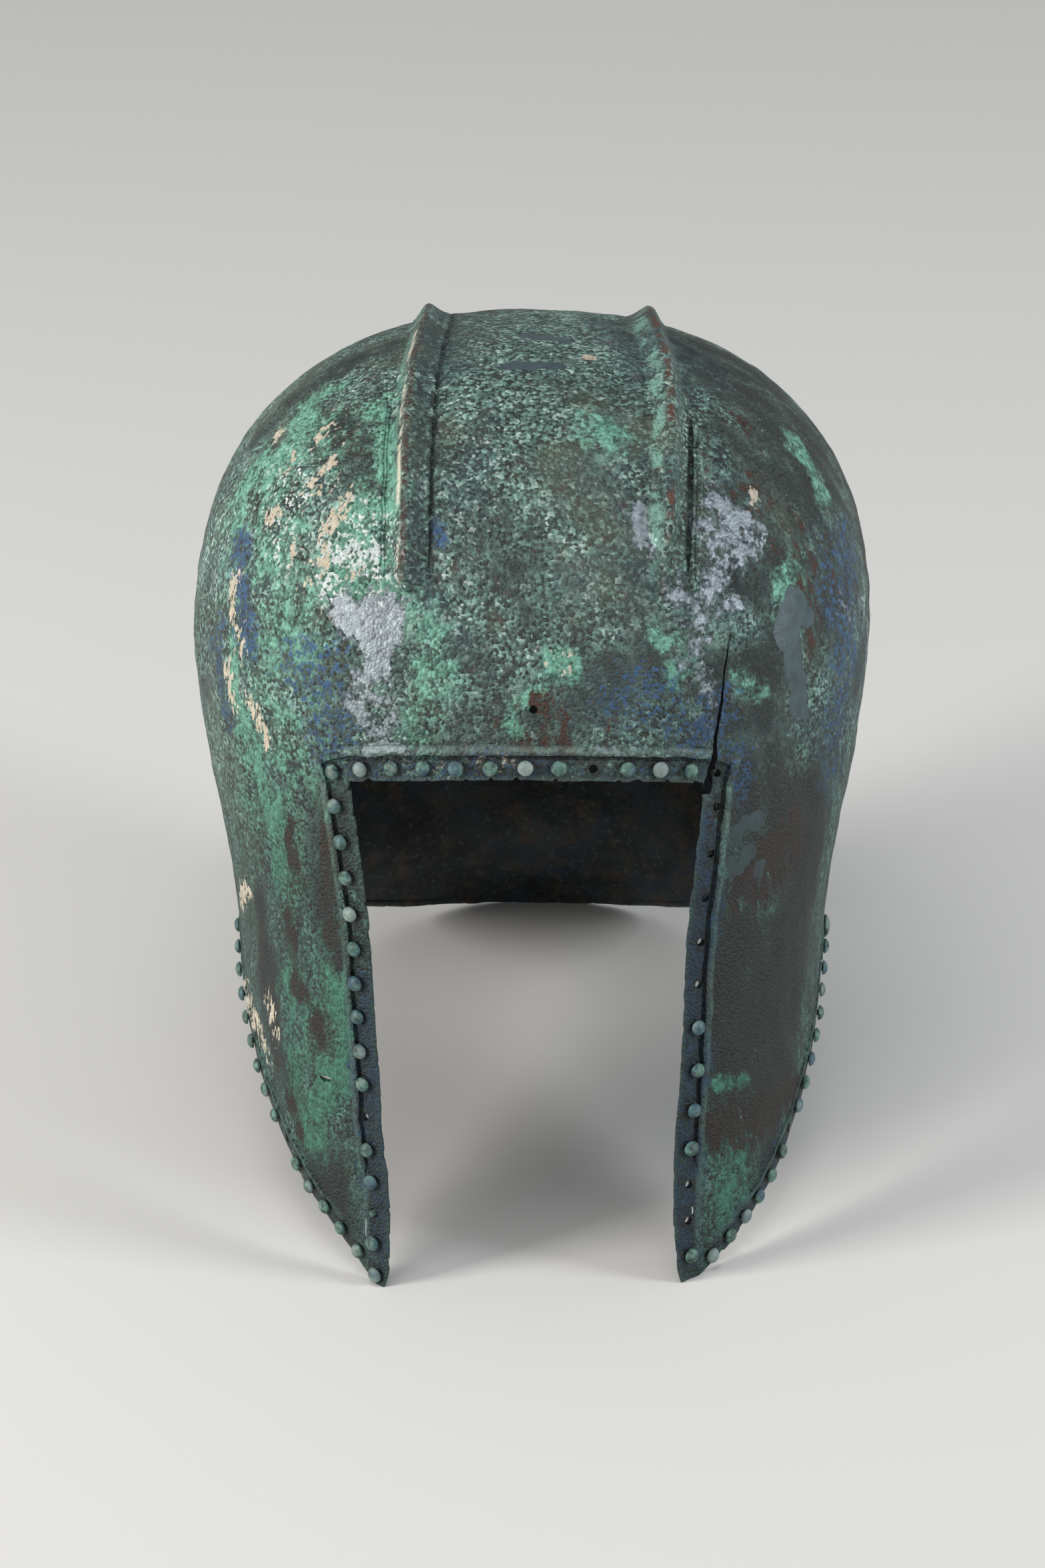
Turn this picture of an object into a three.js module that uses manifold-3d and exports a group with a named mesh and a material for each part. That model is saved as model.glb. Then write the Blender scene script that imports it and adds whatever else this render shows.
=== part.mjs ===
// An Illyrian helmet of raised bronze: one shell with two ridges over the crown, a squared face opening, long
// pointed cheekpieces and a flared neck guard, and the round-headed rivets along its edges.
// Millimetres, +Z up. The shell is worked out as it is worn, with the face towards -Y and height 0 at the tip of
// the left cheekpiece, and then leaned back onto its two tips and the neck guard, which it rests on by itself.
// Left is -X and right is +X, as seen from the front.

import * as THREE from "three";
import { mergeVertices } from "three/addons/utils/BufferGeometryUtils.js";
import Module from "manifold-3d";

const wasm = await Module();
wasm.setup();

// Overall sizes of the shell
const HEIGHT = 275;
const HALF_WIDTH = 102;
const FRONT_REACH = 110;
const REAR_REACH = 126;
const GIRTH_HEIGHT = 180;
const CROWN_SHIFT = 0.8;
const WALL = 1.8;

// Roundness of an outline: 2 is an ellipse and more is squarer
const PLAN_ROUNDNESS = 2.15;
const CROWN_ROUNDNESS = { side: 2.37, front: 2.32, rear: 2.15 };

// Face opening
const BROW_HEIGHT = 158;
const BROW_DROP = 3.5;
const OPENING_HALF_WIDTH = 50;

// Lower edge: its highest point over the ear, and the middle of the neck guard
const ARCH_HEIGHT = 92;
const NECK_HEIGHT = 63;

// Plan sections from the tips to the girth. level is a share of GIRTH_HEIGHT, left and right of HALF_WIDTH,
// front of FRONT_REACH and rear of REAR_REACH
const SECTIONS = [
  { level: 0.0, left: 0.755, right: 0.794, front: 0.9, rear: 1.0 },
  { level: 0.167, left: 0.814, right: 0.838, front: 0.918, rear: 1.0 },
  { level: 0.333, left: 0.853, right: 0.863, front: 0.936, rear: 1.0 },
  { level: 0.528, left: 0.874, right: 0.88, front: 0.955, rear: 0.861 },
  { level: 0.667, left: 0.906, right: 0.912, front: 0.973, rear: 0.881 },
  { level: 0.833, left: 0.961, right: 0.966, front: 0.991, rear: 0.929 },
  { level: 1.0, left: 0.995, right: 1.0, front: 1.0, rear: 0.952 },
];

// Front edges of the cheekpieces. level is a share of BROW_HEIGHT, left and right of OPENING_HALF_WIDTH
const CHEEK_FRONTS = [
  { level: 0.0, left: 0.868, right: 0.9 },
  { level: 0.05, left: 0.832, right: 0.856 },
  { level: 0.185, left: 0.834, right: 0.83 },
  { level: 0.317, left: 0.87, right: 0.838 },
  { level: 0.443, left: 0.886, right: 0.864 },
  { level: 0.57, left: 0.912, right: 0.88 },
  { level: 0.696, left: 0.932, right: 0.892 },
  { level: 0.823, left: 0.974, right: 0.932 },
  { level: 0.978, left: 1.04, right: 0.978 },
];

// Rear edges of the cheekpieces from the tip to the top over the ear. reach is a share of FRONT_REACH, and left
// and right are heights as shares of ARCH_HEIGHT
const CHEEK_REARS = [
  { reach: -0.782, left: 0.0, right: 0.025 },
  { reach: -0.75, left: 0.005, right: 0.027 },
  { reach: -0.727, left: 0.049, right: 0.05 },
  { reach: -0.664, left: 0.158, right: 0.12 },
  { reach: -0.573, left: 0.255, right: 0.223 },
  { reach: -0.482, left: 0.37, right: 0.342 },
  { reach: -0.334, left: 0.565, right: 0.543 },
  { reach: 0.018, left: 0.935, right: 0.93 },
  { reach: 0.127, left: 1.0, right: 1.0 },
];

// Neck guard's edge from the ear to the back. reach is a share of REAR_REACH, and rise is 0 at NECK_HEIGHT and 1
// at ARCH_HEIGHT
const NECK_EDGE = [
  { reach: 0.111, rise: 1.0 },
  { reach: 0.278, rise: 0.9 },
  { reach: 0.476, rise: 0.59 },
  { reach: 0.714, rise: 0.28 },
  { reach: 0.873, rise: 0.09 },
  { reach: 1.0, rise: 0.0 },
];

// The two ridges, hollow behind. angle is measured in the ridge's upright plane, from the front at the girth over
// the crown, and left and right are shares of RIDGE_SPACING
const RIDGE_SPACING = 35;
const RIDGE_HEIGHT = 4.8;
const RIDGE_HALF_WIDTH = 5.6;
const RIDGE_STEPS = 18;
const RIDGE_COURSE = [
  { angle: 16.5, left: 0.997, right: 1.049 },
  { angle: 50, left: 0.964, right: 1.1 },
  { angle: 90, left: 0.855, right: 0.99 },
  { angle: 140, left: 0.9, right: 1.0 },
  { angle: 211, left: 0.94, right: 1.0 },
];

// Half of a ridge's section from its foot to its crest. across is a share of RIDGE_HALF_WIDTH and up of
// RIDGE_HEIGHT
const RIDGE_PROFILE = [
  { across: 1.1, up: -0.25 },
  { across: 0.42, up: 0.32 },
  { across: 0.0, up: 1.0 },
];

// Raised bead round the opening and its distance from the edge
const BEAD_INSET = 8.6;
const BEAD_HALF_WIDTH = 2.4;
const BEAD_HEIGHT = 1.0;
const BEAD_START = 0.07;

// Rivets, and the usual distance of their rows from the edge
const RIVET_INSET = 4.5;
const RIVET_SIDES = 6;
const HOLE_RADIUS = 1.25;
const RIVET_CLEARANCE = 0.35;
const HEAD_RADIUS = 2.4;
const HEAD_HEIGHT = 1.5;
const HEAD_STANDOFF = 0.6;
const HEAD_CLEARANCE = 0.2;

// Rows of rivets along the edges. inset is a share of RIVET_INSET, first and last of the row's length, crowd draws
// the middle ones on along it, places counts the holes, and empty lists those that have lost their rivet. A row
// starts further on where its first head would come within HEAD_CLEARANCE of a row before it
const RIVET_ROWS = [
  { row: "brow", inset: 0.84, first: 0, last: 1, crowd: 0, places: 13, empty: [8, 12] },
  { row: "left_front", inset: 1.22, first: 0.07, last: 0.92, crowd: 0.06, places: 14, empty: [9] },
  { row: "right_front", inset: 1.11, first: 0.07, last: 0.955, crowd: 0.12, places: 12, empty: [0, 1, 2, 3, 4, 9, 10] },
  { row: "left_rear", inset: 0.71, first: 0.04, last: 0.9, crowd: 0, places: 16, empty: [6] },
  { row: "right_rear", inset: 0.71, first: 0.085, last: 0.9, crowd: 0, places: 16, empty: [6] },
];

// Other holes by their place in the front view. across is a share of HALF_WIDTH, up of HEIGHT, and width and
// height of HOLE_RADIUS
const LOSSES = [
  { across: 0.004, up: 0.649, width: 1.0, height: 1.0 },
  { across: -0.588, up: 0.226, width: 1.5, height: 0.7 },
];

// Crack up from the right corner of the brow, in the front view. across is a share of HALF_WIDTH, up of HEIGHT,
// and width of CRACK_WIDTH
const CRACK_WIDTH = 1.3;
const CRACK = [
  { across: 0.483, up: 0.549, width: 2.0 },
  { across: 0.503, up: 0.578, width: 1.5 },
  { across: 0.509, up: 0.603, width: 0.85 },
  { across: 0.526, up: 0.644, width: 0.6 },
  { across: 0.531, up: 0.679, width: 0.5 },
  { across: 0.553, up: 0.718, width: 0.12 },
];

// Depth to which the three points of rest are worn flat, and the rounds in which they are found
const WORN_FLAT = 0.5;
const RESTING_ROUNDS = 6;

// Fineness of the shell: columns over the brow, columns from a corner to the back with one close to the opening's
// edge, and rows
const BROW_COLUMNS = 10;
const SIDE_COLUMNS = 18;
const DOME_ROWS = 8;
const BAND_ROWS = 2;
const LOWER_ROWS = 7;
const EDGE_STEPS = 48;
const BEAD_STEPS = 38;
const COLUMN_CROWDING = 1.2;
const EDGE_COLUMN = 0.011;

const Side = { LEFT: "left", RIGHT: "right" };
const { lerp, clamp, degToRad } = THREE.MathUtils;

// Smooth value of one column of a table, with no overshoot between its rows
function tableValue(table, key, column, at) {
  const x = clamp(at, table[0][key], table.at(-1)[key]);
  let i = 0;
  while (i < table.length - 2 && x > table[i + 1][key]) i += 1;
  const rise = (k) => (table[k + 1][column] - table[k][column]) / (table[k + 1][key] - table[k][key]);
  const slope = (k) => {
    if (k === 0) return rise(0);
    if (k === table.length - 1) return rise(k - 1);
    const [before, after] = [rise(k - 1), rise(k)];
    return before * after > 0 ? (2 * before * after) / (before + after) : 0;
  };
  const span = table[i + 1][key] - table[i][key];
  const t = (x - table[i][key]) / span;
  return (
    (1 + 2 * t) * (1 - t) ** 2 * table[i][column] +
    t * (1 - t) ** 2 * span * slope(i) +
    t * t * (3 - 2 * t) * table[i + 1][column] +
    t * t * (t - 1) * span * slope(i + 1)
  );
}

// Half widths and reaches of the plan section at a height. inset is 0 for the outer face and WALL for the inner
function sectionAt(z, inset = 0) {
  const at = (column, size) => size * tableValue(SECTIONS, "level", column, z / GIRTH_HEIGHT) - inset;
  const rise = clamp((z - GIRTH_HEIGHT) / (HEIGHT - inset - GIRTH_HEIGHT), 0, 1);
  const shrink = (roundness) => (1 - rise ** roundness) ** (1 / roundness);
  return {
    left: at("left", HALF_WIDTH) * shrink(CROWN_ROUNDNESS.side),
    right: at("right", HALF_WIDTH) * shrink(CROWN_ROUNDNESS.side),
    front: at("front", FRONT_REACH) * shrink(CROWN_ROUNDNESS.front),
    rear: at("rear", REAR_REACH) * shrink(CROWN_ROUNDNESS.rear),
    shift: CROWN_SHIFT * rise,
  };
}

// Point of the surface at an angle round from the front towards the right
function surfacePoint(angle, z, inset = 0) {
  const section = sectionAt(z, inset);
  const [s, c] = [Math.sin(angle), Math.cos(angle)];
  const bend = (v) => Math.sign(v) * Math.abs(v) ** (2 / PLAN_ROUNDNESS);
  return new THREE.Vector3(
    (s > 0 ? section.right : section.left) * bend(s) + section.shift,
    -(c > 0 ? section.front : section.rear) * bend(c),
    z,
  );
}

// Over 1 outside the outer face and under 1 within it
function outsideness(point) {
  const section = sectionAt(point.z);
  const x = point.x - section.shift;
  const across = Math.abs(x) / (x > 0 ? section.right : section.left);
  const along = Math.abs(point.y) / (point.y < 0 ? section.front : section.rear);
  return across ** PLAN_ROUNDNESS + along ** PLAN_ROUNDNESS;
}

// Outward direction of the outer face
function normalAt(point) {
  const step = 0.2;
  const slope = (axis) => {
    const ahead = point.clone().addScaledVector(axis, step);
    const behind = point.clone().addScaledVector(axis, -step);
    return outsideness(ahead) - outsideness(behind);
  };
  const axes = [[1, 0, 0], [0, 1, 0], [0, 0, 1]].map((axis) => new THREE.Vector3(...axis));
  return new THREE.Vector3(...axes.map(slope)).normalize();
}

// Value between two limits at which a rising function passes zero
function solve(rising, low, high) {
  for (let i = 0; i < 40; i += 1) {
    const middle = (low + high) / 2;
    if (rising(middle) > 0) high = middle;
    else low = middle;
  }
  return (low + high) / 2;
}

// Point where a ray from inside meets the outer face
function surfaceAlong(origin, direction) {
  const at = (distance) => origin.clone().addScaledVector(direction, distance);
  return at(solve((distance) => outsideness(at(distance)) - 1, 0, HEIGHT));
}

// Angle of the opening's front edge at a height, positive on the right
function cheekAngle(side, z, inset = 0) {
  const section = sectionAt(z, inset);
  const x = OPENING_HALF_WIDTH * tableValue(CHEEK_FRONTS, "level", side, z / BROW_HEIGHT);
  return Math.asin((x / section[side]) ** (PLAN_ROUNDNESS / 2)) * (side === Side.RIGHT ? 1 : -1);
}

// Height of the lower edge at a depth
function lowerEdge(side, y) {
  if (y / REAR_REACH > NECK_EDGE[0].reach)
    return lerp(NECK_HEIGHT, ARCH_HEIGHT, tableValue(NECK_EDGE, "reach", "rise", y / REAR_REACH));
  return ARCH_HEIGHT * tableValue(CHEEK_REARS, "reach", side, y / FRONT_REACH);
}

// Angle of a column that runs down a side: share is 0 at the front edge and 1 at the middle of the back
function columnAngle(side, share, z, inset = 0) {
  const back = side === Side.RIGHT ? Math.PI : -Math.PI;
  return lerp(cheekAngle(side, z, inset), back, share);
}

const CORNER_HEIGHT = BROW_HEIGHT - BROW_DROP;

// Height at which a column meets the lower edge
function columnFoot(side, share, inset = 0) {
  const over = (z) => z - lowerEdge(side, surfacePoint(columnAngle(side, share, z, inset), z, inset).y);
  return solve(over, 0, CORNER_HEIGHT);
}

// Height of the brow's edge, which drops from the middle to its corners
function browEdge(share) {
  return BROW_HEIGHT - BROW_DROP * (2 * share - 1) ** 2;
}

// Side and share of one of the columns that run from the right corner round the back to the left corner
function columnPlace(index) {
  const side = index <= SIDE_COLUMNS ? Side.RIGHT : Side.LEFT;
  const steps = side === Side.RIGHT ? index : 2 * SIDE_COLUMNS - index;
  const even = Math.max(0, steps - 1) / (SIDE_COLUMNS - 1);
  return { side, share: steps === 1 ? EDGE_COLUMN : even ** COLUMN_CROWDING };
}

// Points of one face of the shell: a crown point, rings down to the brow, and rows below it round the sides
function facePoints(inset) {
  const points = [new THREE.Vector3(CROWN_SHIFT, 0, HEIGHT - inset)];
  const add = (point) => points.push(point) - 1;
  const corners = [Side.LEFT, Side.RIGHT].map((side) => cheekAngle(side, CORNER_HEIGHT, inset));
  const columns = [];
  for (let i = 0; i < BROW_COLUMNS; i += 1)
    columns.push({ angle: lerp(corners[0], corners[1], i / BROW_COLUMNS), foot: browEdge(i / BROW_COLUMNS) });
  for (let i = 0; i < 2 * SIDE_COLUMNS; i += 1) {
    const { side, share } = columnPlace(i);
    columns.push({ angle: columnAngle(side, share, CORNER_HEIGHT, inset), foot: CORNER_HEIGHT });
  }
  const rings = [];
  for (let row = 1; row <= DOME_ROWS; row += 1) {
    const rise = Math.cos((row / DOME_ROWS) * (Math.PI / 2)) ** (2 / CROWN_ROUNDNESS.side);
    const z = lerp(GIRTH_HEIGHT, HEIGHT - inset, rise);
    rings.push(columns.map(({ angle }) => add(surfacePoint(angle, z, inset))));
  }
  for (let row = 1; row <= BAND_ROWS; row += 1) {
    const level = (foot) => lerp(GIRTH_HEIGHT, foot, row / BAND_ROWS);
    rings.push(columns.map(({ angle, foot }) => add(surfacePoint(angle, level(foot), inset))));
  }
  const ring = rings.at(-1);
  const rows = [[...ring.slice(BROW_COLUMNS), ring[0]]];
  for (let row = 1; row <= LOWER_ROWS; row += 1) {
    const line = [];
    for (let i = 0; i <= 2 * SIDE_COLUMNS; i += 1) {
      const { side, share } = columnPlace(i);
      const z = lerp(CORNER_HEIGHT, columnFoot(side, share, inset), row / LOWER_ROWS);
      line.push(add(surfacePoint(columnAngle(side, share, z, inset), z, inset)));
    }
    rows.push(line);
  }
  return { points, rings, rows };
}

// Triangles of one face, and its free edge in order: along the brow, down the right side, back along the lower
// edge and up the left side
function faceTriangles({ rings, rows }) {
  const triangles = [];
  const quad = (a, b, c, d) => triangles.push([a, b, c], [a, c, d]);
  const first = rings[0];
  first.forEach((corner, i) => triangles.push([0, corner, first[(i + 1) % first.length]]));
  for (let row = 1; row < rings.length; row += 1) {
    const [upper, lower] = [rings[row - 1], rings[row]];
    upper.forEach((corner, i) => {
      const next = (i + 1) % upper.length;
      quad(corner, lower[i], lower[next], upper[next]);
    });
  }
  for (let row = 1; row < rows.length; row += 1) {
    const [upper, lower] = [rows[row - 1], rows[row]];
    for (let i = 0; i + 1 < upper.length; i += 1) quad(upper[i], lower[i], lower[i + 1], upper[i + 1]);
  }
  const brow = rings.at(-1).slice(0, BROW_COLUMNS);
  const right = rows.slice(0, -1).map((row) => row[0]);
  const left = rows.slice(1).map((row) => row.at(-1)).reverse();
  return { triangles, rim: [...brow, ...right, ...rows.at(-1).slice(0, -1), ...left] };
}

// Geometry from points and triangles of their numbers
function meshGeometry(points, triangles) {
  const geometry = new THREE.BufferGeometry().setFromPoints(points);
  geometry.setIndex(triangles.flat());
  return geometry;
}

// The closed shell: the outer face, the inner face and the edge between them
function shellGeometry() {
  const [outer, inner] = [facePoints(0), facePoints(WALL)];
  const [outerFace, innerFace] = [faceTriangles(outer), faceTriangles(inner)];
  const start = outer.points.length;
  const triangles = [...outerFace.triangles];
  innerFace.triangles.forEach(([a, b, c]) => triangles.push([start + a, start + c, start + b]));
  outerFace.rim.forEach((a, i) => {
    const next = (i + 1) % outerFace.rim.length;
    const b = outerFace.rim[next];
    const [c, d] = [start + innerFace.rim[next], start + innerFace.rim[i]];
    triangles.push([b, a, d], [b, d, c]);
  });
  return meshGeometry([...outer.points, ...inner.points], triangles);
}

// Closed body of a section carried along frames. A section point has its distance across and its height up
function sweepGeometry(frames, section) {
  const points = [];
  const triangles = [];
  const put = ({ position, across, up }, point) =>
    points.push(position.clone().addScaledVector(across, point.x).addScaledVector(up, point.y)) - 1;
  const loops = frames.map((frame) => section.map((point) => put(frame, point)));
  const count = section.length;
  for (let step = 1; step < loops.length; step += 1)
    for (let i = 0; i < count; i += 1) {
      const next = (i + 1) % count;
      const [a, b] = [loops[step - 1], loops[step]];
      triangles.push([a[i], b[i], b[next]], [a[i], b[next], a[next]]);
    }
  const foot = new THREE.Vector2(0, section[0].y);
  const [first, last] = [put(frames[0], foot), put(frames.at(-1), foot)];
  for (let i = 0; i < count; i += 1) {
    const next = (i + 1) % count;
    triangles.push([first, loops[0][i], loops[0][next]], [last, loops.at(-1)[next], loops.at(-1)[i]]);
  }
  return meshGeometry(points, triangles);
}

// Frames along points of the surface, each with its outward direction and the one across the path
function surfaceFrames(path) {
  return path.map((position, i) => {
    const along = path[Math.min(i + 1, path.length - 1)].clone().sub(path[Math.max(i - 1, 0)]);
    const up = normalAt(position);
    return { position, up, across: along.cross(up).normalize() };
  });
}

// Course of a ridge over the crown
function ridgePath(side) {
  const path = [];
  const [start, end] = [RIDGE_COURSE[0].angle, RIDGE_COURSE.at(-1).angle];
  for (let i = 0; i <= RIDGE_STEPS; i += 1) {
    const degrees = lerp(start, end, i / RIDGE_STEPS);
    const x = RIDGE_SPACING * tableValue(RIDGE_COURSE, "angle", side, degrees) * (side === Side.LEFT ? -1 : 1);
    const angle = degToRad(degrees);
    const direction = new THREE.Vector3(0, -Math.cos(angle), Math.sin(angle));
    path.push(surfaceAlong(new THREE.Vector3(x, 0, GIRTH_HEIGHT), direction));
  }
  return path;
}

// Section of a ridge, from its foot on one side over the crest to the other
function ridgeSection() {
  const half = RIDGE_PROFILE.map(
    ({ across, up }) => new THREE.Vector2(across * RIDGE_HALF_WIDTH, up * RIDGE_HEIGHT),
  );
  const mirrored = half.slice(0, -1).reverse().map((point) => new THREE.Vector2(-point.x, point.y));
  return [...half, ...mirrored];
}

// Section of the hollow behind a ridge, open to the inside
function hollowSection() {
  const foot = RIDGE_HALF_WIDTH - WALL;
  return [
    new THREE.Vector2(foot, -WALL - 1),
    new THREE.Vector2(0, RIDGE_HEIGHT - 1.6 * WALL),
    new THREE.Vector2(-foot, -WALL - 1),
  ];
}

// Free edges of the outer face, each as points on the surface
function cheekFrontPath(side) {
  const foot = columnFoot(side, 0);
  const path = [];
  for (let i = 0; i <= EDGE_STEPS; i += 1) {
    const z = lerp(CORNER_HEIGHT, foot, i / EDGE_STEPS);
    path.push(surfacePoint(cheekAngle(side, z), z));
  }
  return path;
}

function cheekRearPath(side) {
  const path = [];
  for (let i = 0; i <= EDGE_STEPS; i += 1) {
    const y = FRONT_REACH * lerp(CHEEK_REARS[0].reach, CHEEK_REARS.at(-1).reach, i / EDGE_STEPS);
    const z = lowerEdge(side, y);
    const section = sectionAt(z);
    const along = Math.abs(y) / (y < 0 ? section.front : section.rear);
    const x = section[side] * (1 - along ** PLAN_ROUNDNESS) ** (1 / PLAN_ROUNDNESS);
    path.push(new THREE.Vector3(side === Side.LEFT ? -x : x, y, z));
  }
  return path;
}

// The opening's edge from the left tip over the brow to the right tip
function openingPath() {
  const corners = [Side.LEFT, Side.RIGHT].map((side) => cheekAngle(side, CORNER_HEIGHT));
  const brow = [];
  for (let i = 1; i < EDGE_STEPS; i += 1)
    brow.push(surfacePoint(lerp(corners[0], corners[1], i / EDGE_STEPS), browEdge(i / EDGE_STEPS)));
  return [...cheekFrontPath(Side.LEFT).reverse(), ...brow, ...cheekFrontPath(Side.RIGHT)];
}

// How much further than its inset a path's corner lies where the path turns
function mitreAt(path, i) {
  if (i === 0 || i === path.length - 1) return 1;
  const before = path[i].clone().sub(path[i - 1]).normalize();
  const after = path[i + 1].clone().sub(path[i]).normalize();
  return 1 / Math.sqrt((1 + before.dot(after)) / 2);
}

// Path on the surface beside an edge, at a distance to the left of the way along it as seen from outside
function insetPath(path, inset) {
  return surfaceFrames(path).map(({ position, across }, i) => {
    const beside = position.clone().addScaledVector(across, -inset * mitreAt(path, i));
    const axis = new THREE.Vector3(0, 0, beside.z);
    return surfaceAlong(axis, beside.sub(axis).normalize());
  });
}

// Points at shares of a path's length
function pointsAlong(path, shares) {
  const lengths = [0];
  for (let i = 1; i < path.length; i += 1) lengths.push(lengths[i - 1] + path[i].distanceTo(path[i - 1]));
  return shares.map((share) => {
    const target = share * lengths.at(-1);
    const next = Math.max(1, lengths.findIndex((length) => length >= target));
    const t = (target - lengths[next - 1]) / (lengths[next] - lengths[next - 1]);
    return path[next - 1].clone().lerp(path[next], t);
  });
}

// Path that a row of rivets follows, by the name of the row. Those on the cheekpieces start at the brow or the tip
function rivetPath(row, inset) {
  if (row === "left_rear") return insetPath(cheekRearPath(Side.LEFT).reverse(), inset).reverse();
  if (row === "right_rear") return insetPath(cheekRearPath(Side.RIGHT), inset);
  const opening = insetPath(openingPath(), inset);
  if (row === "left_front") return opening.slice(0, EDGE_STEPS + 1).reverse();
  if (row === "right_front") return opening.slice(2 * EDGE_STEPS);
  return opening.slice(EDGE_STEPS, 2 * EDGE_STEPS + 1);
}

// Share of a path from which a head keeps clear of the rivets placed before
function clearStart(path, first, placed) {
  const least = 2 * HEAD_RADIUS + HEAD_CLEARANCE;
  const crowded = ([point]) => placed.some(({ position }) => position.distanceTo(point) < least);
  let share = first;
  while (share < 1 && crowded(pointsAlong(path, [share]))) share += 0.1 / EDGE_STEPS;
  return share;
}

// Every rivet place: its name, where it is and which way it faces, and whether its rivet is lost
function rivetPlaces() {
  const placed = [];
  for (const { row, inset, first, last, crowd, places, empty } of RIVET_ROWS) {
    const path = rivetPath(row, inset * RIVET_INSET);
    const start = clearStart(path, first, placed);
    const shares = Array.from({ length: places }, (_, i) => {
      const t = i / (places - 1);
      return lerp(start, last, t + crowd * t * (1 - t));
    });
    pointsAlong(path, shares).forEach((position, i) =>
      placed.push({
        name: `rivet_${row}_${String(i + 1).padStart(2, "0")}`,
        position,
        facing: new THREE.Quaternion().setFromUnitVectors(new THREE.Vector3(0, 0, 1), normalAt(position)),
        lost: empty.includes(i),
      }),
    );
  }
  return placed;
}

// A closed geometry as a solid that can be joined and cut
function solidFrom(geometry) {
  const bare = geometry.clone();
  bare.deleteAttribute("normal");
  bare.deleteAttribute("uv");
  const merged = mergeVertices(bare, 1e-4);
  return new wasm.Manifold(
    new wasm.Mesh({
      numProp: 3,
      vertProperties: merged.attributes.position.array,
      triVerts: new Uint32Array(merged.index.array),
    }),
  );
}

function geometryFrom(solid) {
  const { vertProperties, triVerts } = solid.getMesh();
  const geometry = new THREE.BufferGeometry();
  geometry.setAttribute("position", new THREE.BufferAttribute(vertProperties, 3));
  geometry.setIndex(new THREE.BufferAttribute(triVerts, 1));
  return geometry;
}

// Cutter for a rivet's hole, square to the surface
function holeCutter({ position, facing }) {
  const cutter = new THREE.CylinderGeometry(HOLE_RADIUS, HOLE_RADIUS, 4 * WALL, RIVET_SIDES);
  return cutter.rotateX(Math.PI / 2).applyQuaternion(facing).translate(...position.toArray());
}

// Cutter through the front wall for one of the other holes
function lossCutter({ across, up, width, height }) {
  const cutter = new THREE.CylinderGeometry(HOLE_RADIUS, HOLE_RADIUS, 2 * FRONT_REACH, 2 * RIVET_SIDES);
  return cutter.scale(width, 1, height).translate(across * HALF_WIDTH, -FRONT_REACH, up * HEIGHT);
}

// Cutter through the front wall for the crack
function crackCutter() {
  const edge = (sign) => ({ across, up, width }) =>
    new THREE.Vector2(across * HALF_WIDTH + (sign * width * CRACK_WIDTH) / 2, up * HEIGHT);
  const outline = new THREE.Shape([...CRACK.map(edge(1)), ...CRACK.map(edge(-1)).reverse()]);
  return new THREE.ExtrudeGeometry(outline, { depth: 2 * FRONT_REACH, bevelEnabled: false }).rotateX(Math.PI / 2);
}

// The bead, half sunk in the wall
function beadGeometry() {
  const path = insetPath(openingPath(), BEAD_INSET);
  const shares = Array.from({ length: BEAD_STEPS + 1 }, (_, i) => lerp(BEAD_START, 1 - BEAD_START, i / BEAD_STEPS));
  const section = [
    new THREE.Vector2(BEAD_HALF_WIDTH, -BEAD_HEIGHT),
    new THREE.Vector2(0, BEAD_HEIGHT),
    new THREE.Vector2(-BEAD_HALF_WIDTH, -BEAD_HEIGHT),
  ];
  return sweepGeometry(surfaceFrames(pointsAlong(path, shares)), section);
}

// The floor through the three points that the helmet rests on: the lowest of each cheekpiece and of the neck guard
function restingFloor(points) {
  const regions = [
    points.filter(({ x, y }) => y < 0 && x < 0),
    points.filter(({ x, y }) => y < 0 && x > 0),
    points.filter(({ y }) => y > 0),
  ];
  const up = new THREE.Vector3(0, 0, 1);
  let lowest = [];
  for (let round = 0; round < RESTING_ROUNDS; round += 1) {
    lowest = regions.map((region) => region.reduce((low, point) => (point.dot(up) < low.dot(up) ? point : low)));
    const [left, right, neck] = lowest;
    up.crossVectors(right.clone().sub(left), neck.clone().sub(left)).normalize();
  }
  const across = new THREE.Vector3(1, 0, 0).projectOnPlane(up).normalize();
  const basis = new THREE.Matrix4().makeBasis(across, up.clone().cross(across), up);
  return { point: lowest[0], leaning: new THREE.Quaternion().setFromRotationMatrix(basis) };
}

// The whole shell as one piece of metal, worn flat where it rests
function helmetShell(face, floor) {
  let shell = solidFrom(face);
  for (const side of [Side.LEFT, Side.RIGHT]) {
    const frames = surfaceFrames(ridgePath(side));
    shell = shell
      .add(solidFrom(sweepGeometry(frames, ridgeSection())))
      .subtract(solidFrom(sweepGeometry(frames.slice(1, -1), hollowSection())));
  }
  shell = shell.add(solidFrom(beadGeometry()));
  const cutters = [...rivetPlaces().map(holeCutter), ...LOSSES.map(lossCutter), crackCutter()];
  for (const cutter of cutters) shell = shell.subtract(solidFrom(cutter));
  const ground = new THREE.BoxGeometry(4 * HEIGHT, 4 * HEIGHT, HEIGHT)
    .translate(0, 0, WORN_FLAT - HEIGHT / 2)
    .applyQuaternion(floor.leaning)
    .translate(...floor.point.toArray());
  return shell.subtract(solidFrom(ground));
}

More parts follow.
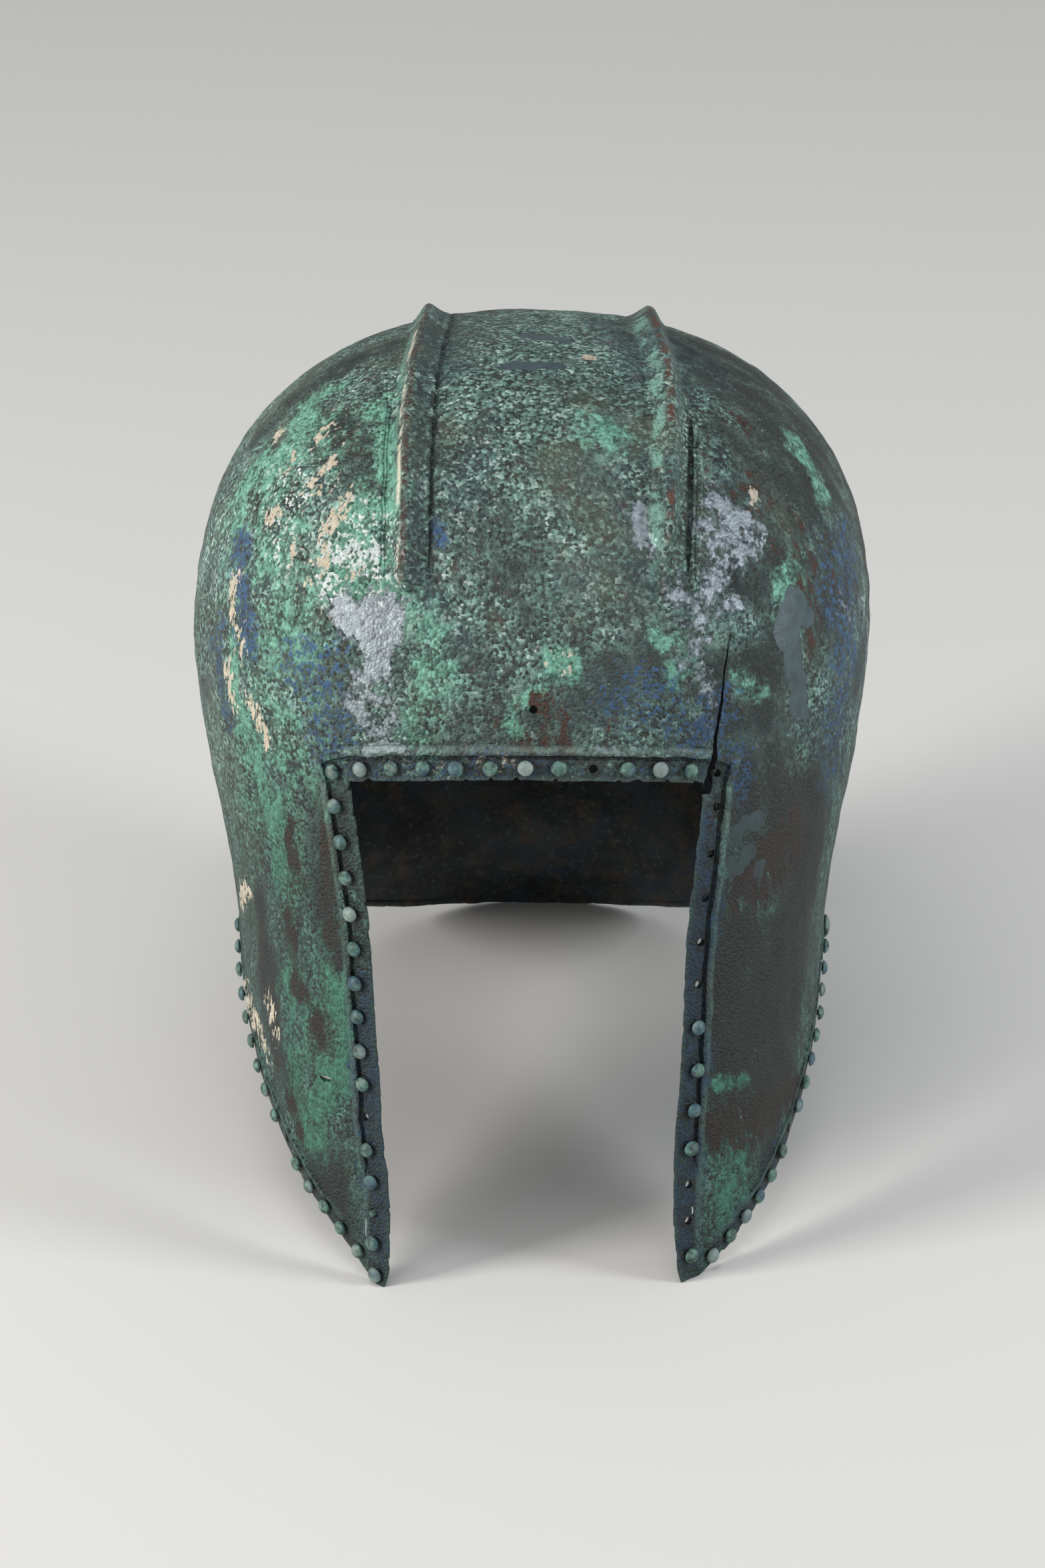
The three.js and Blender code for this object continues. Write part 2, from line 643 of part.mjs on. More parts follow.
// A rivet about +Z with the outer face at 0: a round head that stands clear, and a shank through the wall
function rivetGeometry() {
  const shank = HOLE_RADIUS - RIVET_CLEARANCE;
  const inner = -WALL - RIVET_CLEARANCE;
  const profile = [
    new THREE.Vector2(0, inner),
    new THREE.Vector2(shank, inner),
    new THREE.Vector2(shank, HEAD_STANDOFF),
    new THREE.Vector2(HEAD_RADIUS, HEAD_STANDOFF),
    new THREE.Vector2(HEAD_RADIUS * 0.72, HEAD_STANDOFF + HEAD_HEIGHT * 0.72),
    new THREE.Vector2(0, HEAD_STANDOFF + HEAD_HEIGHT),
  ];
  return new THREE.LatheGeometry(profile, RIVET_SIDES).rotateX(Math.PI / 2);
}

function buildHelmet() {
  const face = shellGeometry();
  const count = face.attributes.position.count;
  const points = Array.from({ length: count }, (_, i) =>
    new THREE.Vector3().fromBufferAttribute(face.attributes.position, i),
  );
  const floor = restingFloor(points);
  const bronze = new THREE.MeshStandardMaterial({ color: "#5f6d5e", roughness: 0.75, metalness: 0.4 });
  const rivetBronze = new THREE.MeshStandardMaterial({ color: "#7c7b62", roughness: 0.7, metalness: 0.4 });
  const worn = new THREE.Group();
  const shell = new THREE.Mesh(geometryFrom(helmetShell(face, floor)), bronze);
  shell.name = "helmet_shell";
  worn.add(shell);
  for (const { name, position, facing, lost } of rivetPlaces()) {
    if (lost) continue;
    const rivet = new THREE.Mesh(rivetGeometry(), rivetBronze);
    rivet.name = name;
    rivet.position.copy(position);
    rivet.quaternion.copy(facing);
    worn.add(rivet);
  }
  worn.quaternion.copy(floor.leaning).invert();
  const helmet = new THREE.Group();
  helmet.add(worn);
  helmet.updateMatrixWorld(true);
  const box = new THREE.Box3().setFromObject(helmet, true);
  worn.position.set(-(box.min.x + box.max.x) / 2, -(box.min.y + box.max.y) / 2, -box.min.z);
  return helmet;
}

export default buildHelmet();
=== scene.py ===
"""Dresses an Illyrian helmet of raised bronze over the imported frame.

The shell is worked out in millimetres as it is worn, with the face towards -Y and height 0 at the tip of
the left cheekpiece. It is then leaned back onto the floor and turned to metres, as the frame has it. Left is
-X and right is +X, as seen from the front, and a bearing is in degrees round from the front towards the right.
"""

from __future__ import annotations

import logging
import math
from dataclasses import dataclass, field
from enum import Enum

import bpy
import numpy as np
from mathutils import Matrix, Vector, kdtree

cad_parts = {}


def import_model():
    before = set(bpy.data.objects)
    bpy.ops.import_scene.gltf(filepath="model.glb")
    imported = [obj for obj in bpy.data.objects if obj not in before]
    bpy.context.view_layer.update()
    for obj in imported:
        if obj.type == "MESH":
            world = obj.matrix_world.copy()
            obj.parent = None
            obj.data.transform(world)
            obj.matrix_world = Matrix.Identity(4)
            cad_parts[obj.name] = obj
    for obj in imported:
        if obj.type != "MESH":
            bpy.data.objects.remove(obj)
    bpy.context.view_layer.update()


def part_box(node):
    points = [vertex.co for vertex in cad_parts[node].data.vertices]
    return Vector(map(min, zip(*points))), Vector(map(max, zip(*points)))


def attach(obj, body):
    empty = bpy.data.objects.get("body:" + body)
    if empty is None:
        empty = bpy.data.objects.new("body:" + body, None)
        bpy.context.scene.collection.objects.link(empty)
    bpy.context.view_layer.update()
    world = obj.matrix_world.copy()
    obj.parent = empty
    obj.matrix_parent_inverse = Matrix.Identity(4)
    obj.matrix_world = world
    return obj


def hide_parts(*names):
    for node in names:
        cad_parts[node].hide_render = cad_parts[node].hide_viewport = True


LOG = logging.getLogger("helmet")
METRES = 0.001
SEED = 7

Array = np.ndarray


class Side(Enum):
    """Side of the helmet as seen from the front."""

    LEFT = "left"
    RIGHT = "right"

    @property
    def sign(self) -> int:
        """Sign of x on this side."""
        return 1 if self is Side.RIGHT else -1


class Row(Enum):
    """Row of rivets along an edge."""

    BROW = "brow"
    LEFT_FRONT = "left_front"
    RIGHT_FRONT = "right_front"
    LEFT_REAR = "left_rear"
    RIGHT_REAR = "right_rear"


class Mineral(Enum):
    """What a patch of the surface has turned to."""

    MALACHITE = "malachite"
    AZURITE = "azurite"
    CUPRITE = "cuprite"
    DEPOSIT = "deposit"
    TIN = "tin"
    SLATE = "slate"
    # Dark crust, partly painted shade where its broad patches darken the right side
    SOOT = "soot"
    FROST = "frost"


@dataclass(frozen=True)
class PlanSection:
    """Plan section at a level: shares of the girth's level, half width, front reach and rear reach."""

    level: float
    left: float
    right: float
    front: float
    rear: float


@dataclass(frozen=True)
class EdgePoint:
    """Point of an edge or a course: a place along it and a share for each side."""

    along: float
    left: float
    right: float


@dataclass(frozen=True)
class CrackPoint:
    """Point of the crack: shares of the half width, the height and the crack's width."""

    across: float
    up: float
    width: float


@dataclass(frozen=True)
class RivetRow:
    """Places of a row: distance from the edge, ends and crowding as shares, and the lost rivets."""

    row: Row
    inset: float
    first: float
    last: float
    crowd: float
    places: int
    empty: tuple[int, ...]


@dataclass(frozen=True)
class Patch:
    """A patch of a mineral as a band of a radius in millimetres along a path.

    Under 0.5 of strength only its noisiest parts show, as speckle. The path's points are pixels of the
    photograph, or bearings and levels where around is true.
    """

    path: tuple[tuple[float, float], ...]
    radius: float
    strength: float
    around: bool = False


@dataclass(frozen=True)
class EdgeTone:
    """Colour of an edge's field on the shell, its strength, and whether it comes and goes in dabs."""

    name: str
    colour: str
    strength: float
    broken: bool = False


@dataclass(frozen=True)
class RidgeTone(EdgeTone):
    """Colour of a strip along a ridge: its distance outward from the crest and up, and its radius."""

    side: Side = Side.LEFT
    offset: float = 0.0
    lift: float = 0.0
    radius: float = 1.5
    end: float = 1.0


@dataclass(frozen=True)
class Section:
    """Half widths and reaches of a plan section."""

    left: Array
    right: Array
    front: Array
    rear: Array
    shift: Array

    def half_width(self, side: Side) -> Array:
        """Half width on a side."""
        return self.right if side is Side.RIGHT else self.left


@dataclass(frozen=True)
class SmoothTable:
    """One column of a table, read smoothly and with no overshoot between its rows."""

    keys: tuple[float, ...]
    values: tuple[float, ...]

    @classmethod
    def of(cls, rows: tuple, key: str, column: str) -> SmoothTable:
        """Takes a column of a table of dataclass rows.

        Args:
            rows: rows in rising order of the key.
            key: name of the key's field.
            column: name of the value's field.

        Returns:
            The column as a smooth table.
        """
        return cls(tuple(getattr(row, key) for row in rows), tuple(getattr(row, column) for row in rows))

    def at(self, where: Array | float) -> Array:
        """Reads the table.

        Args:
            where: keys to read at, held between the first and the last.

        Returns:
            The values there.
        """
        keys, values = np.array(self.keys), np.array(self.values)
        rises = np.diff(values) / np.diff(keys)
        before, after = rises[:-1], rises[1:]
        steady = before * after > 0
        slopes = np.empty_like(values)
        slopes[0], slopes[-1] = rises[0], rises[-1]
        slopes[1:-1] = np.where(steady, 2 * before * after / np.where(steady, before + after, 1), 0)
        x = np.clip(where, keys[0], keys[-1])
        i = np.clip(np.searchsorted(keys, x, side="left") - 1, 0, len(keys) - 2)
        span = keys[i + 1] - keys[i]
        t = (x - keys[i]) / span
        start = (1 + 2 * t) * (1 - t) ** 2 * values[i] + t * (1 - t) ** 2 * span * slopes[i]
        end = t * t * (3 - 2 * t) * values[i + 1] + t * t * (t - 1) * span * slopes[i + 1]
        return start + end


def unit(vectors: Array) -> Array:
    """Vectors at length 1."""
    return vectors / np.maximum(np.linalg.norm(vectors, axis=-1, keepdims=True), 1e-9)


def smooth_step(low: float, high: float, value: Array) -> Array:
    """Smooth rise from 0 at low to 1 at high.

    Args:
        low: value at which the rise starts.
        high: value at which it ends.
        value: values to read.

    Returns:
        The rise at each value.
    """
    t = np.clip((value - low) / (high - low), 0, 1)
    return t * t * (3 - 2 * t)


def lattice_noise(points: Array, size: float, seed: int) -> Array:
    """Smooth noise from random values on a cubic lattice.

    Args:
        points: places in millimetres.
        size: spacing of the lattice in millimetres.
        seed: number that picks the pattern.

    Returns:
        A value between -1 and 1 for each point.
    """
    values = np.random.default_rng(seed).uniform(-1, 1, (64, 64, 64))
    places = points / size + 1000.37
    cell = np.floor(places).astype(np.int64)
    t = places - cell
    t = t * t * t * (t * (t * 6 - 15) + 10)
    total = np.zeros(len(points))
    for corner in range(8):
        step = np.array([corner & 1, corner >> 1 & 1, corner >> 2 & 1])
        weight = np.prod(np.where(step == 1, t, 1 - t), axis=1)
        x, y, z = ((cell + step) % 64).T
        total += weight * values[x, y, z]
    return total


def linear_colour(code: str) -> tuple[float, float, float, float]:
    """Turns an sRGB hex colour to linear.

    Args:
        code: colour as "#rrggbb".

    Returns:
        Red, green, blue and alpha, linear.
    """
    parts = [int(code[i : i + 2], 16) / 255 for i in (1, 3, 5)]
    linear = [part / 12.92 if part <= 0.04045 else ((part + 0.055) / 1.055) ** 2.4 for part in parts]
    return linear[0], linear[1], linear[2], 1.0


Tree = bpy.types.NodeTree
Socket = bpy.types.NodeSocket
# How far the noise of the finishes breaks up into finer noise
FINE_NOISE = {"Detail": 6.0, "Roughness": 0.64}


def add_node(
    tree: Tree, kind: str, inputs: dict[str | int, object] | None = None, **settings: object
) -> bpy.types.Node:
    """Adds a node with its settings, values and links.

    Args:
        tree: tree that takes the node.
        kind: Blender's name for the kind of node.
        inputs: value, hex colour, or socket to link from, by input name or number.
        settings: the node's own properties.

    Returns:
        The new node.
    """
    node = tree.nodes.new(kind)
    for name, value in settings.items():
        setattr(node, name, value)
    for key, value in (inputs or {}).items():
        if isinstance(value, Socket):
            tree.links.new(value, node.inputs[key])
        elif isinstance(value, str) and value.startswith("#"):
            node.inputs[key].default_value = linear_colour(value)
        else:
            node.inputs[key].default_value = value
    return node


@dataclass
class Draft:
    """Points and faces of a mesh in the making."""

    points: list[Array] = field(default_factory=list)
    faces: list[tuple[int, ...]] = field(default_factory=list)
    count: int = 0

    def add(self, points: Array) -> Array:
        """Adds points.

        Args:
            points: points in an array of any shape with x, y and z last.

        Returns:
            Their numbers, in the shape of the array.
        """
        flat = points.reshape(-1, 3)
        numbers = np.arange(self.count, self.count + len(flat)).reshape(points.shape[:-1])
        self.points.append(flat)
        self.count += len(flat)
        return numbers

    def strip(self, upper: Array, lower: Array, closed: bool = False) -> None:
        """Joins two lines of equal length with quads.

        Args:
            upper: numbers of the first line.
            lower: numbers of the second line.
            closed: whether the lines are loops.
        """
        last = len(upper) if closed else len(upper) - 1
        for i in range(last):
            j = (i + 1) % len(upper)
            self.faces.append((int(upper[i]), int(lower[i]), int(lower[j]), int(upper[j])))

    def stitch(self, first: Array, first_at: Array, second: Array, second_at: Array) -> None:
        """Joins two loops of any lengths with triangles.

        Args:
            first: numbers of the first loop.
            first_at: rising place of each of its points round the loop, as a share of a turn.
            second: numbers of the second loop.
            second_at: rising places of its points.
        """
        i, j = 0, 0
        first_next = [*first_at[1:], 2.0]
        second_next = [*second_at[1:], 2.0]
        while i < len(first) or j < len(second):
            a, b = int(first[i % len(first)]), int(second[j % len(second)])
            take_first = j >= len(second) or (i < len(first) and first_next[i] <= second_next[j])
            if take_first:
                i += 1
                self.faces.append((a, b, int(first[i % len(first)])))
            else:
                j += 1
                self.faces.append((a, b, int(second[j % len(second)])))

    def merge(self, other: Draft) -> None:
        """Takes in another draft.

        Args:
            other: draft whose points and faces are added.
        """
        start = self.count
        self.points.extend(other.points)
        self.count += other.count
        self.faces.extend(tuple(start + number for number in face) for face in other.faces)

    def mesh(self, name: str) -> bpy.types.Mesh:
        """Makes the mesh.

        Args:
            name: name of the mesh.

        Returns:
            The mesh, in the draft's own units.
        """
        made = bpy.data.meshes.new(name)
        made.from_pydata(np.concatenate(self.points).tolist(), [], self.faces)
        made.update()
        return made


@dataclass(frozen=True)
class Frames:
    """Points along a path on the shell, each with the outward direction and the one across the path."""

    positions: Array
    up: Array
    across: Array

    def sweep(self, section: Array, scale: Array | None = None) -> Draft:
        """Carries a closed section along the path.

        Args:
            section: points of the section, each with its distance across and its height up.
            scale: size of the section at each frame.

        Returns:
            The closed body.
        """
        scale = np.ones(len(self.positions)) if scale is None else scale
        sized = section[None] * scale[:, None, None]
        points = (
            self.positions[:, None]
            + self.across[:, None] * sized[..., :1]
            + self.up[:, None] * sized[..., 1:]
        )
        draft = Draft()
        loops = draft.add(points)
        for before, after in zip(loops[:-1], loops[1:]):
            draft.strip(before, after, closed=True)
        foot = section[0, 1]
        first = int(draft.add(self.positions[:1] + self.up[:1] * foot * scale[0])[0])
        last = int(draft.add(self.positions[-1:] + self.up[-1:] * foot * scale[-1])[0])
        count = len(section)
        for i in range(count):
            j = (i + 1) % count
            draft.faces.append((first, int(loops[0][i]), int(loops[0][j])))
            draft.faces.append((last, int(loops[-1][j]), int(loops[-1][i])))
        return draft


@dataclass(frozen=True)
class Fineness:
    """Columns over the brow and from a corner to the back, and rows of a face of the shell."""

    brow_columns: int
    side_columns: int
    dome_rows: int
    band_rows: int
    lower_rows: int
    crowding: float = 1.0
    edge_column: float | None = None

    def shares(self) -> list[tuple[Side, float]]:
        """Side and share of each column from the right corner round the back to the left corner."""
        places = []
        for index in range(2 * self.side_columns + 1):
            side = Side.RIGHT if index <= self.side_columns else Side.LEFT
            steps = index if side is Side.RIGHT else 2 * self.side_columns - index
            if self.edge_column is None:
                share = (steps / self.side_columns) ** self.crowding
            elif steps == 1:
                share = self.edge_column
            else:
                share = (max(0, steps - 1) / (self.side_columns - 1)) ** self.crowding
            places.append((side, share))
        return places


@dataclass(frozen=True)
class Face:
    """One face of the shell: its points, the crown's number, the rings round the dome and the rows below."""

    points: Array
    rings: Array
    rows: Array
    brow_columns: int

    def rim(self) -> tuple[Array, Array]:
        """Numbers round the free edge, and their rising places as shares of a turn."""
        brow = self.rings[-1][: self.brow_columns]
        right = self.rows[:-1, 0]
        foot = self.rows[-1, :-1]
        left = self.rows[1:, -1][::-1]
        runs = [brow, right, foot, left]
        places = [(i + np.arange(len(run)) / len(run)) / len(runs) for i, run in enumerate(runs)]
        return np.concatenate(runs), np.concatenate(places)


@dataclass(frozen=True)
class ShellForm:
    """Form of the shell as it is worn, in millimetres."""

    height: float = 275.0
    half_width: float = 102.0
    front_reach: float = 110.0
    rear_reach: float = 126.0
    girth_level: float = 180.0
    crown_shift: float = 0.8
    wall: float = 1.8
    plan_roundness: float = 2.15
    side_roundness: float = 2.37
    front_roundness: float = 2.32
    rear_roundness: float = 2.15
    brow_level: float = 158.0
    brow_drop: float = 3.5
    opening_half_width: float = 50.0
    arch_level: float = 92.0
    neck_level: float = 63.0
    sections: tuple[PlanSection, ...] = (
        PlanSection(level=0.0, left=0.755, right=0.794, front=0.9, rear=1.0),
        PlanSection(level=0.167, left=0.814, right=0.838, front=0.918, rear=1.0),
        PlanSection(level=0.333, left=0.853, right=0.863, front=0.936, rear=1.0),
        PlanSection(level=0.528, left=0.874, right=0.88, front=0.955, rear=0.861),
        PlanSection(level=0.667, left=0.906, right=0.912, front=0.973, rear=0.881),
        PlanSection(level=0.833, left=0.961, right=0.966, front=0.991, rear=0.929),
        PlanSection(level=1.0, left=0.995, right=1.0, front=1.0, rear=0.952),
    )
    # Front edges of the cheekpieces: share of the brow's level, and shares of the opening's half width
    cheek_fronts: tuple[EdgePoint, ...] = (
        EdgePoint(along=0.0, left=0.868, right=0.9),
        EdgePoint(along=0.05, left=0.832, right=0.856),
        EdgePoint(along=0.185, left=0.834, right=0.83),
        EdgePoint(along=0.317, left=0.87, right=0.838),
        EdgePoint(along=0.443, left=0.886, right=0.864),
        EdgePoint(along=0.57, left=0.912, right=0.88),
        EdgePoint(along=0.696, left=0.932, right=0.892),
        EdgePoint(along=0.823, left=0.974, right=0.932),
        EdgePoint(along=0.978, left=1.04, right=0.978),
    )
    # Rear edges of the cheekpieces: share of the front reach, and heights as shares of the arch's level
    cheek_rears: tuple[EdgePoint, ...] = (
        EdgePoint(along=-0.782, left=0.0, right=0.025),
        EdgePoint(along=-0.75, left=0.005, right=0.027),
        EdgePoint(along=-0.727, left=0.049, right=0.05),
        EdgePoint(along=-0.664, left=0.158, right=0.12),
        EdgePoint(along=-0.573, left=0.255, right=0.223),
        EdgePoint(along=-0.482, left=0.37, right=0.342),
        EdgePoint(along=-0.334, left=0.565, right=0.543),
        EdgePoint(along=0.018, left=0.935, right=0.93),
        EdgePoint(along=0.127, left=1.0, right=1.0),
    )
    # Neck guard's edge: share of the rear reach, and its rise from the neck's level to the arch's
    neck_edge: SmoothTable = SmoothTable(
        (0.111, 0.278, 0.476, 0.714, 0.873, 1.0), (1.0, 0.9, 0.59, 0.28, 0.09, 0.0)
    )

    @property
    def corner_level(self) -> float:
        """Level of the opening's upper corners."""
        return self.brow_level - self.brow_drop

    def section(self, z: Array | float, inset: float = 0.0) -> Section:
        """Plan section at a level.

        Args:
            z: levels.
            inset: 0 for the outer face and the wall's thickness for the inner one.

        Returns:
            The section there.
        """
        level = np.asarray(z, dtype=float) / self.girth_level
        rise = np.clip((z - self.girth_level) / (self.height - inset - self.girth_level), 0, 1)

        def size(column: str, full: float, roundness: float) -> Array:
            """Size of one column, drawn in towards the crown."""
            below = full * SmoothTable.of(self.sections, "level", column).at(level) - inset
            return below * (1 - rise**roundness) ** (1 / roundness)

        return Section(
            left=size("left", self.half_width, self.side_roundness),
            right=size("right", self.half_width, self.side_roundness),
            front=size("front", self.front_reach, self.front_roundness),
            rear=size("rear", self.rear_reach, self.rear_roundness),
            shift=self.crown_shift * rise,
        )

    def point(self, angle: Array | float, z: Array | float, inset: float = 0.0) -> Array:
        """Points of a face of the shell.

        Args:
            angle: angles round from the front towards the right, in the outline's own measure.
            z: levels.
            inset: 0 for the outer face and the wall's thickness for the inner one.

        Returns:
            The points.
        """
        angle, z = np.broadcast_arrays(np.asarray(angle, dtype=float), np.asarray(z, dtype=float))
        section = self.section(z, inset)
        s, c = np.sin(angle), np.cos(angle)
        power = 2 / self.plan_roundness
        x = np.where(s > 0, section.right, section.left) * np.sign(s) * np.abs(s) ** power + section.shift
        y = -np.where(c > 0, section.front, section.rear) * np.sign(c) * np.abs(c) ** power
        return np.stack([x, y, z], axis=-1)

    def outsideness(self, points: Array) -> Array:
        """Over 1 outside the outer face and under 1 within it.

        Args:
            points: points to test.

        Returns:
            A value for each point.
        """
        x, y, z = np.moveaxis(points, -1, 0)
        section = self.section(z)
        x = x - section.shift
        across = np.abs(x) / np.maximum(np.where(x > 0, section.right, section.left), 1e-6)
        along = np.abs(y) / np.maximum(np.where(y < 0, section.front, section.rear), 1e-6)
        return across**self.plan_roundness + along**self.plan_roundness

    def slopes(self, points: Array) -> Array:
        """How fast outsideness grows along each axis.

        Args:
            points: points to test.

        Returns:
            The slopes along x, y and z for each point.
        """
        step = 0.2
        ahead = [self.outsideness(points + step * axis) for axis in np.eye(3)]
        behind = [self.outsideness(points - step * axis) for axis in np.eye(3)]
        return np.stack([(a - b) / (2 * step) for a, b in zip(ahead, behind)], axis=-1)

    def normals(self, points: Array) -> Array:
        """Outward direction of the outer face nearest each point."""
        held = points.copy()
        held[..., 2] = np.minimum(held[..., 2], self.height - 0.6)
        return unit(self.slopes(held))

    def surface_along(self, origins: Array, directions: Array) -> Array:
        """Points where rays from inside meet the outer face.

        Args:
            origins: start of each ray.
            directions: its direction, of length 1.

        Returns:
            The points.
        """
        low, high = np.zeros(len(origins)), np.full(len(origins), self.height)
        for _ in range(40):
            middle = (low + high) / 2
            outside = self.outsideness(origins + directions * middle[:, None]) > 1
            low, high = np.where(outside, low, middle), np.where(outside, middle, high)
        return origins + directions * high[:, None]

    def at_bearing(self, bearing: float, level: float) -> Array:
        """Point of the outer face at a bearing in degrees and a level."""
        angle = math.radians(bearing)
        direction = np.array([[math.sin(angle), -math.cos(angle), 0.0]])
        return self.surface_along(np.array([[0.0, 0.0, level]]), direction)[0]

    def cheek_angle(self, side: Side, z: Array | float, inset: float = 0.0) -> Array:
        """Angle of the opening's front edge.

        Args:
            side: side of the helmet.
            z: levels.
            inset: 0 for the outer face and the wall's thickness for the inner one.

        Returns:
            The angles.
        """
        table = SmoothTable.of(self.cheek_fronts, "along", side.value)
        x = self.opening_half_width * table.at(np.asarray(z) / self.brow_level)
        share = x / self.section(z, inset).half_width(side)
        return np.arcsin(share ** (self.plan_roundness / 2)) * side.sign

    def lower_edge(self, side: Side, y: Array) -> Array:
        """Height of the lower edge.

        Args:
            side: side of the helmet.
            y: depths.

        Returns:
            The heights.
        """
        rise = self.neck_edge.at(y / self.rear_reach)
        neck = self.neck_level + (self.arch_level - self.neck_level) * rise
        rear_edge = SmoothTable.of(self.cheek_rears, "along", side.value)
        cheek = self.arch_level * rear_edge.at(y / self.front_reach)
        return np.where(y / self.rear_reach > self.neck_edge.keys[0], neck, cheek)

    def column_angle(self, side: Side, share: Array | float, z: Array | float, inset: float = 0.0) -> Array:
        """Angle of a column that runs down a side.

        Args:
            side: side of the helmet.
            share: 0 at the front edge and 1 at the middle of the back.
            z: levels.
            inset: 0 for the outer face and the wall's thickness for the inner one.

        Returns:
            The angles.
        """
        front = self.cheek_angle(side, z, inset)
        return front + (side.sign * math.pi - front) * share

    def column_foot(self, side: Side, share: Array, inset: float = 0.0) -> Array:
        """Height at which columns meet the lower edge.

        Args:
            side: side of the helmet.
            share: shares of the columns.
            inset: 0 for the outer face and the wall's thickness for the inner one.

        Returns:
            The heights.
        """
        low, high = np.zeros(len(share)), np.full(len(share), self.corner_level)
        for _ in range(40):
            middle = (low + high) / 2
            y = self.point(self.column_angle(side, share, middle, inset), middle, inset)[:, 1]
            over = middle > self.lower_edge(side, y)
            low, high = np.where(over, low, middle), np.where(over, middle, high)
        return (low + high) / 2

    def brow_edge(self, share: Array) -> Array:
        """Height of the brow's edge from its left corner to its right one."""
        return self.brow_level - self.brow_drop * (2 * share - 1) ** 2

    def face(self, inset: float, fineness: Fineness) -> Face:
        """Points of one face of the shell.

        Args:
            inset: 0 for the outer face and the wall's thickness for the inner one.
            fineness: its columns and rows.

        Returns:
            The face.
        """
        corner = self.corner_level
        draft = Draft()
        draft.add(np.array([self.crown_shift, 0.0, self.height - inset]))
        left, right = (self.cheek_angle(side, corner, inset) for side in (Side.LEFT, Side.RIGHT))
        brow_shares = np.arange(fineness.brow_columns) / fineness.brow_columns
        places = fineness.shares()
        angles = [left + (right - left) * share for share in brow_shares]
        angles += [self.column_angle(side, share, corner, inset) for side, share in places[:-1]]
        angles = np.array(angles)
        feet = np.concatenate([self.brow_edge(brow_shares), np.full(2 * fineness.side_columns, corner)])
        rings = []
        for row in range(1, fineness.dome_rows + 1):
            rise = math.cos(row / fineness.dome_rows * math.pi / 2) ** (2 / self.side_roundness)
            z = self.girth_level + (self.height - inset - self.girth_level) * rise
            rings.append(draft.add(self.point(angles, z, inset)))
        for row in range(1, fineness.band_rows + 1):
            z = self.girth_level + (feet - self.girth_level) * row / fineness.band_rows
            rings.append(draft.add(self.point(angles, z, inset)))
        rows = [np.append(rings[-1][fineness.brow_columns :], rings[-1][0])]
        halves = []
        for side in (Side.RIGHT, Side.LEFT):
            shares = np.array([share for placed, share in places if placed is side])
            halves.append((side, shares, self.column_foot(side, shares, inset)))
        for row in range(1, fineness.lower_rows + 1):
            line = []
            for side, shares, foot in halves:
                z = corner + (foot - corner) * row / fineness.lower_rows
                line.append(self.point(self.column_angle(side, shares, z, inset), z, inset))
            rows.append(draft.add(np.concatenate(line)))
        return Face(np.concatenate(draft.points), np.array(rings), np.array(rows), fineness.brow_columns)

    def frames(self, path: Array) -> Frames:
        """Frames along points of the outer face.

        Args:
            path: the points in order.

        Returns:
            The frames.
        """
        along = np.empty_like(path)
        along[1:-1] = path[2:] - path[:-2]
        along[0], along[-1] = path[1] - path[0], path[-1] - path[-2]
        up = self.normals(path)
        return Frames(path, up, unit(np.cross(along, up)))

    def cheek_front_path(self, side: Side, steps: int) -> Array:
        """Front edge of a cheekpiece from the corner to the tip.

        Args:
            side: side of the helmet.
            steps: number of steps along it.

        Returns:
            Its points.
        """
        foot = self.column_foot(side, np.zeros(1))[0]
        z = np.linspace(self.corner_level, foot, steps + 1)
        return self.point(self.cheek_angle(side, z), z)

    def lower_points(self, side: Side, y: Array) -> Array:
        """Points of the lower edge.

        Args:
            side: side of the helmet.
            y: their depths.

        Returns:
            The points.
        """
        z = self.lower_edge(side, y)
        section = self.section(z)
        along = np.abs(y) / np.where(y < 0, section.front, section.rear)
        bulge = np.maximum(0, 1 - along**self.plan_roundness) ** (1 / self.plan_roundness)
        x = section.half_width(side) * bulge
        return np.stack([side.sign * x, y, z], axis=-1)

    def cheek_rear_path(self, side: Side, steps: int) -> Array:
        """Rear edge of a cheekpiece from the tip to the top over the ear."""
        start, end = (self.front_reach * self.cheek_rears[i].along for i in (0, -1))
        return self.lower_points(side, np.linspace(start, end, steps + 1))

    def neck_path(self, steps: int) -> Array:
        """Neck guard's edge from over the right ear round the back to over the left ear."""
        start, reach = self.rear_reach * self.neck_edge.keys[0], self.rear_reach
        for _ in range(12):
            reach = float(self.section(self.lower_edge(Side.RIGHT, np.array([reach]))).rear[0])
        y = start + (reach - start) * np.sin(np.linspace(0, math.pi / 2, steps + 1))
        return np.concatenate([self.lower_points(Side.RIGHT, y), self.lower_points(Side.LEFT, y[-2::-1])])

    def lower_path(self, steps: int) -> Array:
        """Whole lower edge from the right tip round the back to the left tip."""
        right, left = (self.cheek_rear_path(side, steps) for side in (Side.RIGHT, Side.LEFT))
        return np.concatenate([right[:-1], self.neck_path(steps), left[-2::-1]])

    def opening_path(self, steps: int) -> Array:
        """The opening's edge from the left tip over the brow to the right tip."""
        left, right = (self.cheek_angle(side, self.corner_level) for side in (Side.LEFT, Side.RIGHT))
        share = np.arange(1, steps) / steps
        brow = self.point(left + (right - left) * share, self.brow_edge(share))
        sides = [self.cheek_front_path(side, steps) for side in (Side.LEFT, Side.RIGHT)]
        return np.concatenate([sides[0][::-1], brow, sides[1]])

